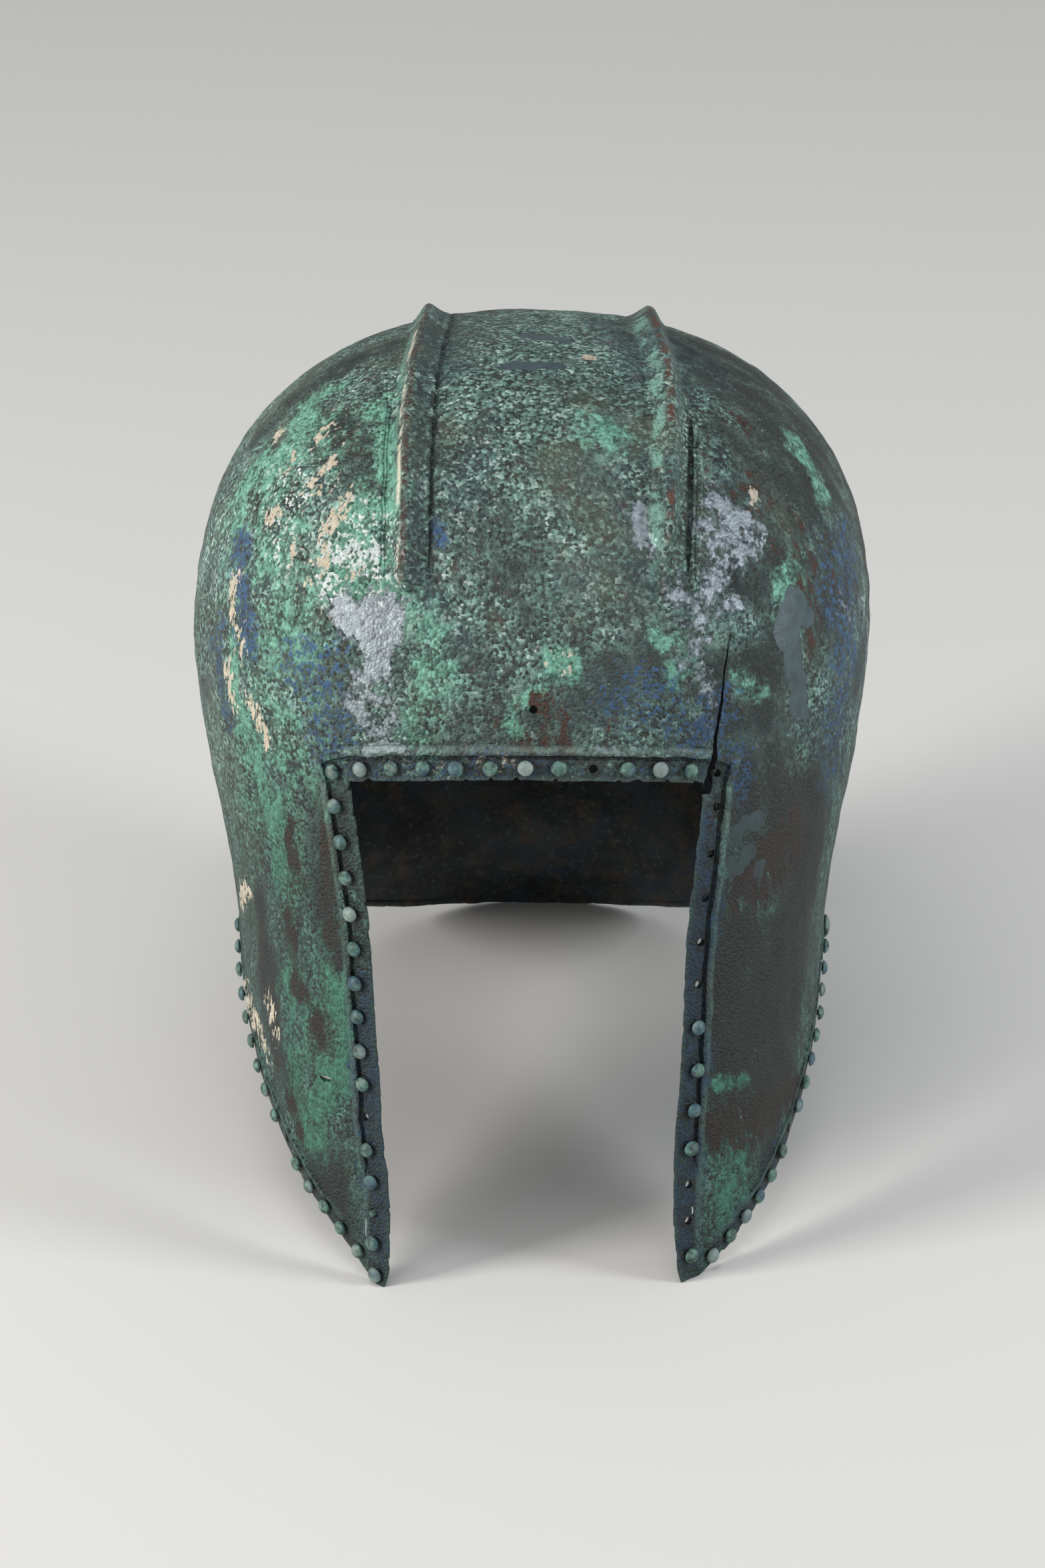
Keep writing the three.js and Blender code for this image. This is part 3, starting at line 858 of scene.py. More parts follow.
    def inset_path(self, path: Array, inset: float) -> Array:
        """Path on the surface beside an edge, to the left of the way along it as seen from outside.

        Args:
            path: points of the edge.
            inset: distance from it.

        Returns:
            The points beside it.
        """
        frames = self.frames(path)
        steps = unit(np.diff(path, axis=0))
        mitre = np.ones(len(path))
        mitre[1:-1] = 1 / np.sqrt(np.maximum(0.25, (1 + np.sum(steps[:-1] * steps[1:], axis=1)) / 2))
        beside = path - frames.across * (inset * mitre)[:, None]
        axis = beside * np.array([0.0, 0.0, 1.0])
        return self.surface_along(axis, unit(beside - axis))


def points_along(path: Array, shares: Array) -> Array:
    """Points at shares of a path's length.

    Args:
        path: points of the path.
        shares: rising shares of its length.

    Returns:
        The points.
    """
    lengths = np.concatenate([[0.0], np.cumsum(np.linalg.norm(np.diff(path, axis=0), axis=1))])
    target = np.asarray(shares) * lengths[-1]
    return np.stack([np.interp(target, lengths, path[:, axis]) for axis in range(3)], axis=-1)


@dataclass(frozen=True)
class FloorPose:
    """How the worn helmet is leaned and moved into the frame, in millimetres."""

    turn: Array
    move: Array

    def place(self, points: Array) -> Array:
        """Worn points in the frame."""
        return points @ self.turn.T + self.move

    def lean(self, directions: Array) -> Array:
        """Worn directions in the frame."""
        return directions @ self.turn.T

    @classmethod
    def resting(cls, form: ShellForm, low: Array, high: Array, worn_flat: float = 0.5) -> FloorPose:
        """Finds the floor through the lowest points of the cheekpieces and the neck guard.

        Args:
            form: the shell's form.
            low: lowest corner of the shell's box in the frame, in millimetres.
            high: its highest corner.
            worn_flat: depth to which the points of rest are worn flat.

        Returns:
            The pose.
        """
        coarse = Fineness(10, 18, 8, 2, 7, crowding=1.2, edge_column=0.011)
        points = np.concatenate([form.face(inset, coarse).points for inset in (0.0, form.wall)])
        front = points[:, 1] < 0
        regions = [points[front & (points[:, 0] < 0)], points[front & (points[:, 0] > 0)], points[~front]]
        up = np.array([0.0, 0.0, 1.0])
        for _ in range(6):
            left, right, neck = (region[np.argmin(region @ up)] for region in regions)
            up = unit(np.cross(right - left, neck - left))
        across = unit(np.array([1.0, 0.0, 0.0]) - up * up[0])
        turn = np.stack([across, np.cross(up, across), up])
        turned = points @ turn.T
        move = np.array([
            (low[0] + high[0]) / 2 - (turned[:, 0].min() + turned[:, 0].max()) / 2,
            high[1] - turned[:, 1].max(),
            -(left @ up) - worn_flat,
        ])
        return cls(turn, move)


@dataclass
class RidgePair:
    """The two ridges over the crown, hollow behind."""

    form: ShellForm
    spacing: float = 35.0
    height: float = 4.55
    half_width: float = 6.3
    steps: int = 250
    # Angle from the front at the girth over the crown, and shares of the spacing
    course: tuple[EdgePoint, ...] = (
        EdgePoint(along=16.5, left=0.997, right=1.049),
        EdgePoint(along=50.0, left=0.964, right=1.1),
        EdgePoint(along=90.0, left=0.855, right=0.99),
        EdgePoint(along=140.0, left=0.9, right=1.0),
        EdgePoint(along=211.0, left=0.94, right=1.0),
    )
    profile: SmoothTable = SmoothTable(
        (0.0, 0.1, 0.2, 0.34, 0.5, 0.68, 0.88, 1.1), (1.0, 0.98, 0.89, 0.69, 0.45, 0.21, 0.03, -0.25)
    )
    hollow: SmoothTable = SmoothTable((0.0, 0.12, 0.35, 0.68), (0.4, 0.3, 0.0, -0.62))

    def path(self, side: Side, offset: float = 0.0, start: float = 0.0, end: float = 1.0) -> Array:
        """Course of a ridge or of a line beside it.

        Args:
            side: side of the helmet.
            offset: distance outward from the crest in millimetres.
            start: share of the course at which it starts.
            end: share at which it ends.

        Returns:
            Points of the outer face along it.
        """
        first, last = self.course[0].along, self.course[-1].along
        degrees = first + (last - first) * np.linspace(start, end, round(self.steps * (end - start)) + 1)
        x = side.sign * (self.spacing * SmoothTable.of(self.course, "along", side.value).at(degrees) + offset)
        angle = np.radians(degrees)
        origins = np.stack([x, np.zeros_like(x), np.full_like(x, self.form.girth_level)], axis=-1)
        directions = np.stack([np.zeros_like(x), -np.cos(angle), np.sin(angle)], axis=-1)
        return self.form.surface_along(origins, directions)

    def section(self, profile: SmoothTable, count: int) -> Array:
        """Whole section from one foot over the crest to the other.

        Args:
            profile: shares of the half width and heights as shares of the ridge's.
            count: points on each side of the crest.

        Returns:
            The points, each with its distance across and its height up.
        """
        across = np.linspace(profile.keys[-1], 0, count + 1)
        half = np.stack([across * self.half_width, profile.at(across) * self.height], axis=-1)
        return np.concatenate([half, half[-2::-1] * np.array([-1.0, 1.0])])

    def raised(self) -> Draft:
        """Both ridges as closed bodies."""
        draft = Draft()
        share = np.linspace(0, 1, self.steps + 1)
        for side, run in ((Side.LEFT, 0.012), (Side.RIGHT, 0.07)):
            taper = np.minimum(
                1, 0.3 + 0.7 * np.minimum(smooth_step(0, run, share), smooth_step(0, 0.05, 1 - share))
            )
            draft.merge(self.form.frames(self.path(side)).sweep(self.section(self.profile, 11), taper))
        return draft

    def hollows(self) -> Draft:
        """What is taken away behind both ridges."""
        draft = Draft()
        for side in Side:
            frames = self.form.frames(self.path(side)[18:-14:3])
            draft.merge(frames.sweep(self.section(self.hollow, 5)))
        return draft


@dataclass(frozen=True)
class RidgeLine:
    """Fine line beside a ridge: side, distance outward from the crest, ends as shares, and size."""

    side: Side
    offset: float
    start: float
    end: float
    half_width: float
    height: float


@dataclass
class FineLines:
    """The bead round the opening, and the fine raised lines and grooves along the edges and the ridges."""

    form: ShellForm
    ridges: RidgePair
    inset: float = 8.6
    half_width: float = 1.8
    height: float = 0.85
    depth: float = 0.9
    start: float = 0.07
    spacing: float = 2.3
    groove_inset: float = 6.7
    lower_inset: float = 6.2
    neck_inset: float = 3.4
    # Half width and height, or depth, of each line along the edges
    lower_bead: tuple[float, float] = (0.9, 0.55)
    neck_bead: tuple[float, float] = (0.9, 0.42)
    opening_groove: tuple[float, float] = (0.6, 0.55)
    inner_groove: tuple[float, float] = (0.8, 0.45)
    raised: tuple[RidgeLine, ...] = (
        RidgeLine(Side.LEFT, 8.3, 0.01, 0.2, 0.7, 0.42),
        RidgeLine(Side.RIGHT, 9.6, 0.01, 0.16, 1.0, 0.5),
    )
    grooves: tuple[RidgeLine, ...] = (
        RidgeLine(Side.RIGHT, 6.9, 0.018, 0.165, 0.95, 1.15),
        RidgeLine(Side.LEFT, -6.2, 0.005, 0.42, 0.6, 0.55),
        RidgeLine(Side.LEFT, 6.6, 0.01, 0.2, 0.5, 0.35),
    )

    def bead(self, half_width: float, height: float) -> Array:
        """Rounded section of a bead that is sunk in the wall.

        Args:
            half_width: half of its width at the surface.
            height: its height over the surface.

        Returns:
            The points, each with its distance across and its height up.
        """
        turn = np.radians(np.linspace(0, 180, 9))
        top = np.stack([half_width * np.cos(turn), height * np.sin(turn)], axis=-1)
        return np.concatenate([[[half_width * 1.15, -self.depth]], top, [[-half_width * 1.15, -self.depth]]])

    def groove(self, half_width: float, depth: float) -> Array:
        """Section of what is taken away for a groove.

        Args:
            half_width: half of its width at the surface.
            depth: its depth under the surface.

        Returns:
            The points, each with its distance across and its height up.
        """
        turn = np.radians(np.linspace(180, 360, 7))
        bottom = np.stack([half_width * np.cos(turn), depth * np.sin(turn)], axis=-1)
        return np.concatenate([bottom, [[half_width * 1.2, 1.2], [-half_width * 1.2, 1.2]]])

    def fade(self, count: int, run: float) -> Array:
        """Scale that draws a line in at its two ends."""
        share = np.linspace(0, 1, count)
        return np.minimum(1, np.minimum(share, 1 - share) / run + 0.25)

    def along(self, path: Array, section: Array, start: float, end: float, sink: float = 0.0) -> Draft:
        """Sweeps a section along part of a path.

        Args:
            path: points of the path.
            section: the section.
            start: share of the path's length at which it starts.
            end: share at which it ends.
            sink: distance under the outer face.

        Returns:
            The closed body.
        """
        run = float(np.sum(np.linalg.norm(np.diff(path, axis=0), axis=1))) * (end - start)
        shares = np.linspace(start, end, round(run / self.spacing) + 1)
        frames = self.form.frames(points_along(path, shares))
        lowered = Frames(frames.positions - frames.up * sink, frames.up, frames.across)
        return lowered.sweep(section, self.fade(len(shares), 0.02))

    def beside_ridge(self, line: RidgeLine, section: Array) -> Draft:
        """Sweeps a section along a line beside a ridge."""
        frames = self.form.frames(self.ridges.path(line.side, line.offset, line.start, line.end))
        return frames.sweep(section, self.fade(len(frames.positions), 0.15))

    def beads(self) -> Draft:
        """All that stands up from the outer face."""
        opening = self.form.inset_path(self.form.opening_path(160), self.inset)
        draft = self.along(opening, self.bead(self.half_width, self.height), self.start, 1 - self.start)
        lower = self.form.inset_path(self.form.lower_path(120), self.lower_inset)
        draft.merge(self.along(lower, self.bead(*self.lower_bead), 0.05, 0.27))
        draft.merge(self.along(lower, self.bead(*self.lower_bead), 0.73, 0.95))
        neck = self.form.inset_path(self.form.neck_path(120), self.neck_inset)
        draft.merge(self.along(neck, self.bead(*self.neck_bead), 0.06, 0.94))
        for line in self.raised:
            draft.merge(self.beside_ridge(line, self.bead(line.half_width, line.height)))
        return draft

    def cuts(self) -> Draft:
        """All that is cut into the faces."""
        opening = self.form.inset_path(self.form.opening_path(160), self.groove_inset)
        draft = self.along(opening, self.groove(*self.opening_groove), 0.08, 0.92)
        neck = self.form.inset_path(self.form.neck_path(120), self.neck_inset)
        inner = self.groove(*self.inner_groove)[::-1] * np.array([1.0, -1.0])
        draft.merge(self.along(neck, inner, 0.04, 0.96, sink=self.form.wall))
        for line in self.grooves:
            draft.merge(self.beside_ridge(line, self.groove(line.half_width, line.height)))
        return draft


@dataclass
class HelmetSheet:
    """The plain sheet of the helmet: outer face, inner face and a softened edge between them."""

    form: ShellForm
    outer: Fineness = Fineness(60, 168, 80, 12, 62)
    inner: Fineness = Fineness(30, 84, 38, 6, 30)
    edge_round: float = 0.38

    def faces(self, draft: Draft, face: Face, numbers: Array, flip: bool) -> None:
        """Adds the faces of one face of the shell.

        Args:
            draft: draft that takes them.
            face: the face's points, rings and rows.
            numbers: number in the draft of each of its points.
            flip: whether it faces inward.
        """
        start = len(draft.faces)
        ring = numbers[face.rings[0]]
        for i, corner in enumerate(ring):
            draft.faces.append((int(numbers[0]), int(corner), int(ring[(i + 1) % len(ring)])))
        for upper, lower in zip(face.rings[:-1], face.rings[1:]):
            draft.strip(numbers[upper], numbers[lower], closed=True)
        for upper, lower in zip(face.rows[:-1], face.rows[1:]):
            draft.strip(numbers[upper], numbers[lower])
        if flip:
            draft.faces[start:] = [found[::-1] for found in draft.faces[start:]]

    def edge_loops(self, face: Face, rim: Array, toward: float) -> tuple[Array, Array]:
        """Softened edge of one face.

        Args:
            face: the face.
            rim: numbers round its free edge.
            toward: sign of the way from this face into the wall, along its outward direction.

        Returns:
            The edge drawn back from the end of the sheet, and the loop at the end inside the wall.
        """
        edge = face.points[rim]
        along = unit(np.roll(edge, -1, axis=0) - np.roll(edge, 1, axis=0))
        up = self.form.normals(edge)
        drawn_back = edge + np.cross(up, along) * self.edge_round
        return drawn_back, edge + up * toward * self.edge_round

    def build(self) -> Draft:
        """Builds the closed sheet."""
        draft = Draft()
        outer, inner = self.form.face(0.0, self.outer), self.form.face(self.form.wall, self.inner)
        loops = []
        for face, toward in ((outer, -1.0), (inner, 1.0)):
            rim, places = face.rim()
            drawn_back, ending = self.edge_loops(face, rim, toward)
            points = face.points.copy()
            points[rim] = drawn_back
            numbers = draft.add(points)
            self.faces(draft, face, numbers, flip=toward > 0)
            loops.append((numbers[rim], draft.add(ending), places))
        (outer_edge, outer_end, outer_at), (inner_edge, inner_end, inner_at) = loops
        draft.strip(outer_edge, outer_end, closed=True)
        draft.stitch(outer_end, outer_at, inner_end, inner_at)
        draft.strip(inner_end, inner_edge, closed=True)
        return draft


@dataclass
class RivetPlaces:
    """Where the rivets go along the edges, and which of them are lost."""

    form: ShellForm
    inset: float = 4.5
    steps: int = 48
    rows: tuple[RivetRow, ...] = (
        RivetRow(Row.BROW, inset=0.84, first=0.0, last=1.0, crowd=0.0, places=13, empty=(8, 12)),
        RivetRow(Row.LEFT_FRONT, inset=1.22, first=0.07, last=0.92, crowd=0.06, places=14, empty=(9,)),
        RivetRow(
            Row.RIGHT_FRONT, inset=1.11, first=0.07, last=0.955, crowd=0.12, places=12,
            empty=(0, 1, 2, 3, 4, 9, 10)
        ),
        RivetRow(Row.LEFT_REAR, inset=0.71, first=0.04, last=0.9, crowd=0.0, places=16, empty=(6,)),
        RivetRow(Row.RIGHT_REAR, inset=0.71, first=0.085, last=0.9, crowd=0.0, places=16, empty=(6,)),
    )

    def path(self, row: Row, inset: float) -> Array:
        """Path that a row follows.

        Args:
            row: the row.
            inset: its distance from the edge.

        Returns:
            Points of the outer face, from the brow or the tip on.
        """
        if row is Row.LEFT_REAR:
            return self.form.inset_path(self.form.cheek_rear_path(Side.LEFT, self.steps)[::-1], inset)[::-1]
        if row is Row.RIGHT_REAR:
            return self.form.inset_path(self.form.cheek_rear_path(Side.RIGHT, self.steps), inset)
        opening = self.form.inset_path(self.form.opening_path(self.steps), inset)
        if row is Row.LEFT_FRONT:
            return opening[: self.steps + 1][::-1]
        if row is Row.RIGHT_FRONT:
            return opening[2 * self.steps :]
        return opening[self.steps : 2 * self.steps + 1]

    def holes(self) -> list[tuple[str, Array, bool]]:
        """Name and place of each hole, and whether its rivet is lost."""
        found = []
        for row in self.rows:
            t = np.arange(row.places) / (row.places - 1)
            shares = row.first + (row.last - row.first) * (t + row.crowd * t * (1 - t))
            places = points_along(self.path(row.row, row.inset * self.inset), shares)
            for i, place in enumerate(places):
                found.append((f"rivet_{row.row.value}_{i + 1:02d}", place, i in row.empty))
        return found


@dataclass
class Openings:
    """What is cut through the wall: rivet holes, other losses, the crack and the slits."""

    form: ShellForm
    places: RivetPlaces
    hole_radius: float = 1.25
    crack_width: float = 1.3
    crack: tuple[CrackPoint, ...] = (
        CrackPoint(across=0.483, up=0.549, width=2.0),
        CrackPoint(across=0.503, up=0.578, width=1.5),
        CrackPoint(across=0.509, up=0.603, width=0.85),
        CrackPoint(across=0.526, up=0.644, width=0.6),
        CrackPoint(across=0.531, up=0.679, width=0.5),
        CrackPoint(across=0.553, up=0.718, width=0.12),
    )
    # Each other hole, as x and z in the front view, width and height in millimetres, and turn in degrees
    losses: tuple[tuple[float, float, float, float, float], ...] = (
        (0.4, 178.5, 2.4, 2.6, 0.0),
        (-60.0, 62.2, 3.8, 1.7, 8.0),
        (-48.7, 18.0, 0.5, 7.5, -3.0),
        (47.0, 24.5, 0.5, 3.4, 4.0),
    )

    def cutter(self, outline: Array, place: Array, across: Array, up: Array, through: Array) -> Draft:
        """Prism through the wall.

        Args:
            outline: its outline, each point with its distance across and up.
            place: its middle.
            across: direction across.
            up: direction up.
            through: direction through the wall.

        Returns:
            The closed prism.
        """
        flat = place + outline[:, :1] * across + outline[:, 1:] * up
        draft = Draft()
        ends = draft.add(np.stack([flat + through * 5.0, flat - through * 5.0]))
        draft.strip(ends[0], ends[1], closed=True)
        draft.faces.append(tuple(int(number) for number in ends[0]))
        draft.faces.append(tuple(int(number) for number in ends[1][::-1]))
        return draft

    def ellipse(self, width: float, height: float, turn: float, seed: int) -> Array:
        """Outline of a slightly ragged hole.

        Args:
            width: its width.
            height: its height.
            turn: its turn in degrees.
            seed: number that picks the raggedness.

        Returns:
            Its points.
        """
        angle = np.linspace(0, 2 * math.pi, 16, endpoint=False)
        ragged = 1 + 0.09 * np.random.default_rng(seed).uniform(-1, 1, 16)
        points = np.stack([width / 2 * np.cos(angle), height / 2 * np.sin(angle)], axis=-1) * ragged[:, None]
        c, s = math.cos(math.radians(turn)), math.sin(math.radians(turn))
        return points @ np.array([[c, s], [-s, c]])

    def crack_outline(self) -> Array:
        """Outline of the crack in the front view, with ragged sides."""
        table = [(
            p.across * self.form.half_width, p.up * self.form.height, p.width * self.crack_width
        ) for p in self.crack]
        x, z, width = (np.array(column) for column in zip(*table))
        at = np.linspace(z[0], z[-1], 34)
        ragged = np.random.default_rng(SEED).uniform(-0.22, 0.22, (2, 34)) * smooth_step(
            0.2, 1.2, np.interp(at, z, width)
        )
        middle, half = np.interp(at, z, x), np.interp(at, z, width) / 2
        right = np.stack([middle + half + ragged[0], at], axis=-1)
        left = np.stack([middle - half + ragged[1], at], axis=-1)
        return np.concatenate([right, left[::-1]])

    def build(self) -> Draft:
        """All the cutters."""
        draft = Draft()
        for i, (_, place, _) in enumerate(self.places.holes()):
            through = self.form.normals(place[None])[0]
            across = unit(np.cross(np.array([0.0, 0.0, 1.0]), through))
            size = 2 * self.hole_radius
            outline = self.ellipse(size, size, 0.0, SEED + i)
            draft.merge(self.cutter(outline, place, across, np.cross(through, across), through))
        east, rise, out = np.array([1.0, 0.0, 0.0]), np.array([0.0, 0.0, 1.0]), np.array([0.0, -1.0, 0.0])
        for i, (x, z, width, height, turn) in enumerate(self.losses):
            angle = math.asin((abs(x) / self.form.half_width) ** 1.02)
            place = self.front_place(x, z)
            draft.merge(self.cutter(
                self.ellipse(width, height, turn, i), place, east, rise, out * (1 + angle)
            ))
        draft.merge(self.nicks())
        outline = self.crack_outline()
        flat = np.stack([outline[:, 0], np.zeros(len(outline)), outline[:, 1]], axis=-1)
        ends = draft.add(np.stack([flat + out * 140.0, flat + out * 40.0]))
        draft.strip(ends[0], ends[1], closed=True)
        draft.faces.append(tuple(int(number) for number in ends[0]))
        draft.faces.append(tuple(int(number) for number in ends[1][::-1]))
        return draft

    def nicks(self) -> Draft:
        """Small bites out of the opening's edge and the lower edge."""
        draft = Draft()
        random = np.random.default_rng(SEED + 100)
        for path, spacing in ((self.form.opening_path(160), 8.5), (self.form.lower_path(120), 9.5)):
            length = np.sum(np.linalg.norm(np.diff(path, axis=0), axis=1))
            count = int(length / spacing)
            shares = (np.arange(1, count) + random.uniform(-0.25, 0.25, count - 1)) / count
            frames = self.form.frames(points_along(path, shares))
            for place, up, across in zip(frames.positions, frames.up, frames.across):
                width, depth = random.uniform(1.2, 4.6), random.uniform(0.35, 1.3)
                outline = self.ellipse(width, 2 * depth, 0.0, int(random.integers(1000)))
                along = np.cross(up, across)
                draft.merge(self.cutter(
                    outline, place + across * 0.25 * depth, along, np.cross(up, along), up
                ))
        return draft

    def front_place(self, x: float, z: float) -> Array:
        """Point of the front at a place in the front view."""
        section = self.form.section(z)
        side = section.right if x > 0 else section.left
        power = self.form.plan_roundness
        y = -section.front * (1 - (abs(x - section.shift) / side) ** power) ** (1 / power)
        return np.array([x, float(y), z])


def solid_object(draft: Draft, name: str) -> bpy.types.Object:
    """Makes an object of a closed draft, linked to the scene.

    Args:
        draft: the closed body or bodies.
        name: name of the object.

    Returns:
        The object.
    """
    made = bpy.data.objects.new(name, draft.mesh(name))
    bpy.context.scene.collection.objects.link(made)
    return made


def evaluated_mesh(source: bpy.types.Object, name: str) -> bpy.types.Mesh:
    """Mesh of an object with its modifiers applied.

    Args:
        source: the object.
        name: name of the new mesh.

    Returns:
        The mesh.
    """
    depsgraph = bpy.context.evaluated_depsgraph_get()
    made = bpy.data.meshes.new_from_object(source.evaluated_get(depsgraph), depsgraph=depsgraph)
    made.name = name
    return made


def carve(body: bpy.types.Object, steps: list[tuple[str, Draft]]) -> bpy.types.Mesh:
    """Joins solids to a body and takes others away.

    Args:
        body: object that is worked on.
        steps: operation and solid of each step, in order.

    Returns:
        The mesh that results.
    """
    tools = []
    for operation, draft in steps:
        tool = solid_object(draft, "tool")
        tool.hide_render = True
        modifier = body.modifiers.new("carve", "BOOLEAN")
        modifier.operation = operation
        modifier.solver = "MANIFOLD"
        modifier.object = tool
        tools.append(tool)
    made = evaluated_mesh(body, body.name)
    body.modifiers.clear()
    for tool in tools:
        mesh = tool.data
        bpy.data.objects.remove(tool)
        bpy.data.meshes.remove(mesh)
    return made


@dataclass(frozen=True)
class Weathering:
    """Dents, waves and worn edges of the metal, in millimetres."""

    form: ShellForm
    wave: float = 0.3
    wave_size: float = 46.0
    dent: float = 0.2
    dent_size: float = 17.0
    ripple: float = 0.1
    ripple_size: float = 6.5
    inward: float = 0.62
    edge_wander: float = 0.28
    edge_size: float = 5.5

    def shift(self, points: Array) -> Array:
        """How far each point has moved.

        Args:
            points: worn points.

        Returns:
            The moves.
        """
        layers = ((self.wave, self.wave_size), (self.dent, self.dent_size), (self.ripple, self.ripple_size))
        depth = -self.inward + sum(
            amount * lattice_noise(points, size, SEED + i) for i, (amount, size) in enumerate(layers)
        )
        wander = [lattice_noise(points, self.edge_size, SEED + 10 + axis) for axis in range(3)]
        return self.form.normals(points) * depth[:, None] + np.stack(wander, axis=-1) * self.edge_wander


@dataclass(frozen=True)
class PhotoView:
    """The camera that took the photograph, in the worn helmet's millimetres."""

    target: tuple[float, float, float] = (-2.6, 0.0, 132.0)
    distance: float = 1400.0
    elevation: float = 13.0
    lens: float = 106.07
    sensor: float = 36.0
    width: int = 1568
    height: int = 2352

    @property
    def axes(self) -> Array:
        """Directions to the right, up and back."""
        tilt = math.radians(self.elevation)
        return np.array([
            [1.0, 0.0, 0.0],
            [0.0, math.sin(tilt), math.cos(tilt)],
            [0.0, -math.cos(tilt), math.sin(tilt)],
        ])

    @property
    def place(self) -> Array:
        """Where the camera stands."""
        return np.array(self.target) + self.axes[2] * self.distance

    def on_surface(self, form: ShellForm, pixels: Array) -> Array:
        """Points of the outer face behind pixels of the photograph.

        Args:
            form: the shell's form.
            pixels: x and y of each pixel, from the upper left corner.

        Returns:
            The nearest point of the outer face on each pixel's ray.
        """
        focal = self.lens / self.sensor * self.height
        right, up, back = self.axes
        across = (pixels[:, :1] - self.width / 2) / focal
        rise = (self.height / 2 - pixels[:, 1:]) / focal
        rays = unit(right * across + up * rise - back)
        depths = np.arange(self.distance - 200.0, self.distance + 120.0, 1.0)
        places = self.place + rays[:, None] * depths[None, :, None]
        outside = form.outsideness(places)
        outside = np.where(places[..., 2] > form.height - 0.5, 9.0, outside)
        first = np.where(
            np.any(outside < 1, axis=1), np.argmax(outside < 1, axis=1), np.argmin(outside, axis=1)
        )
        found = places[np.arange(len(pixels)), first]
        axis = found * np.array([0.0, 0.0, 1.0])
        return form.surface_along(axis, unit(found - axis))


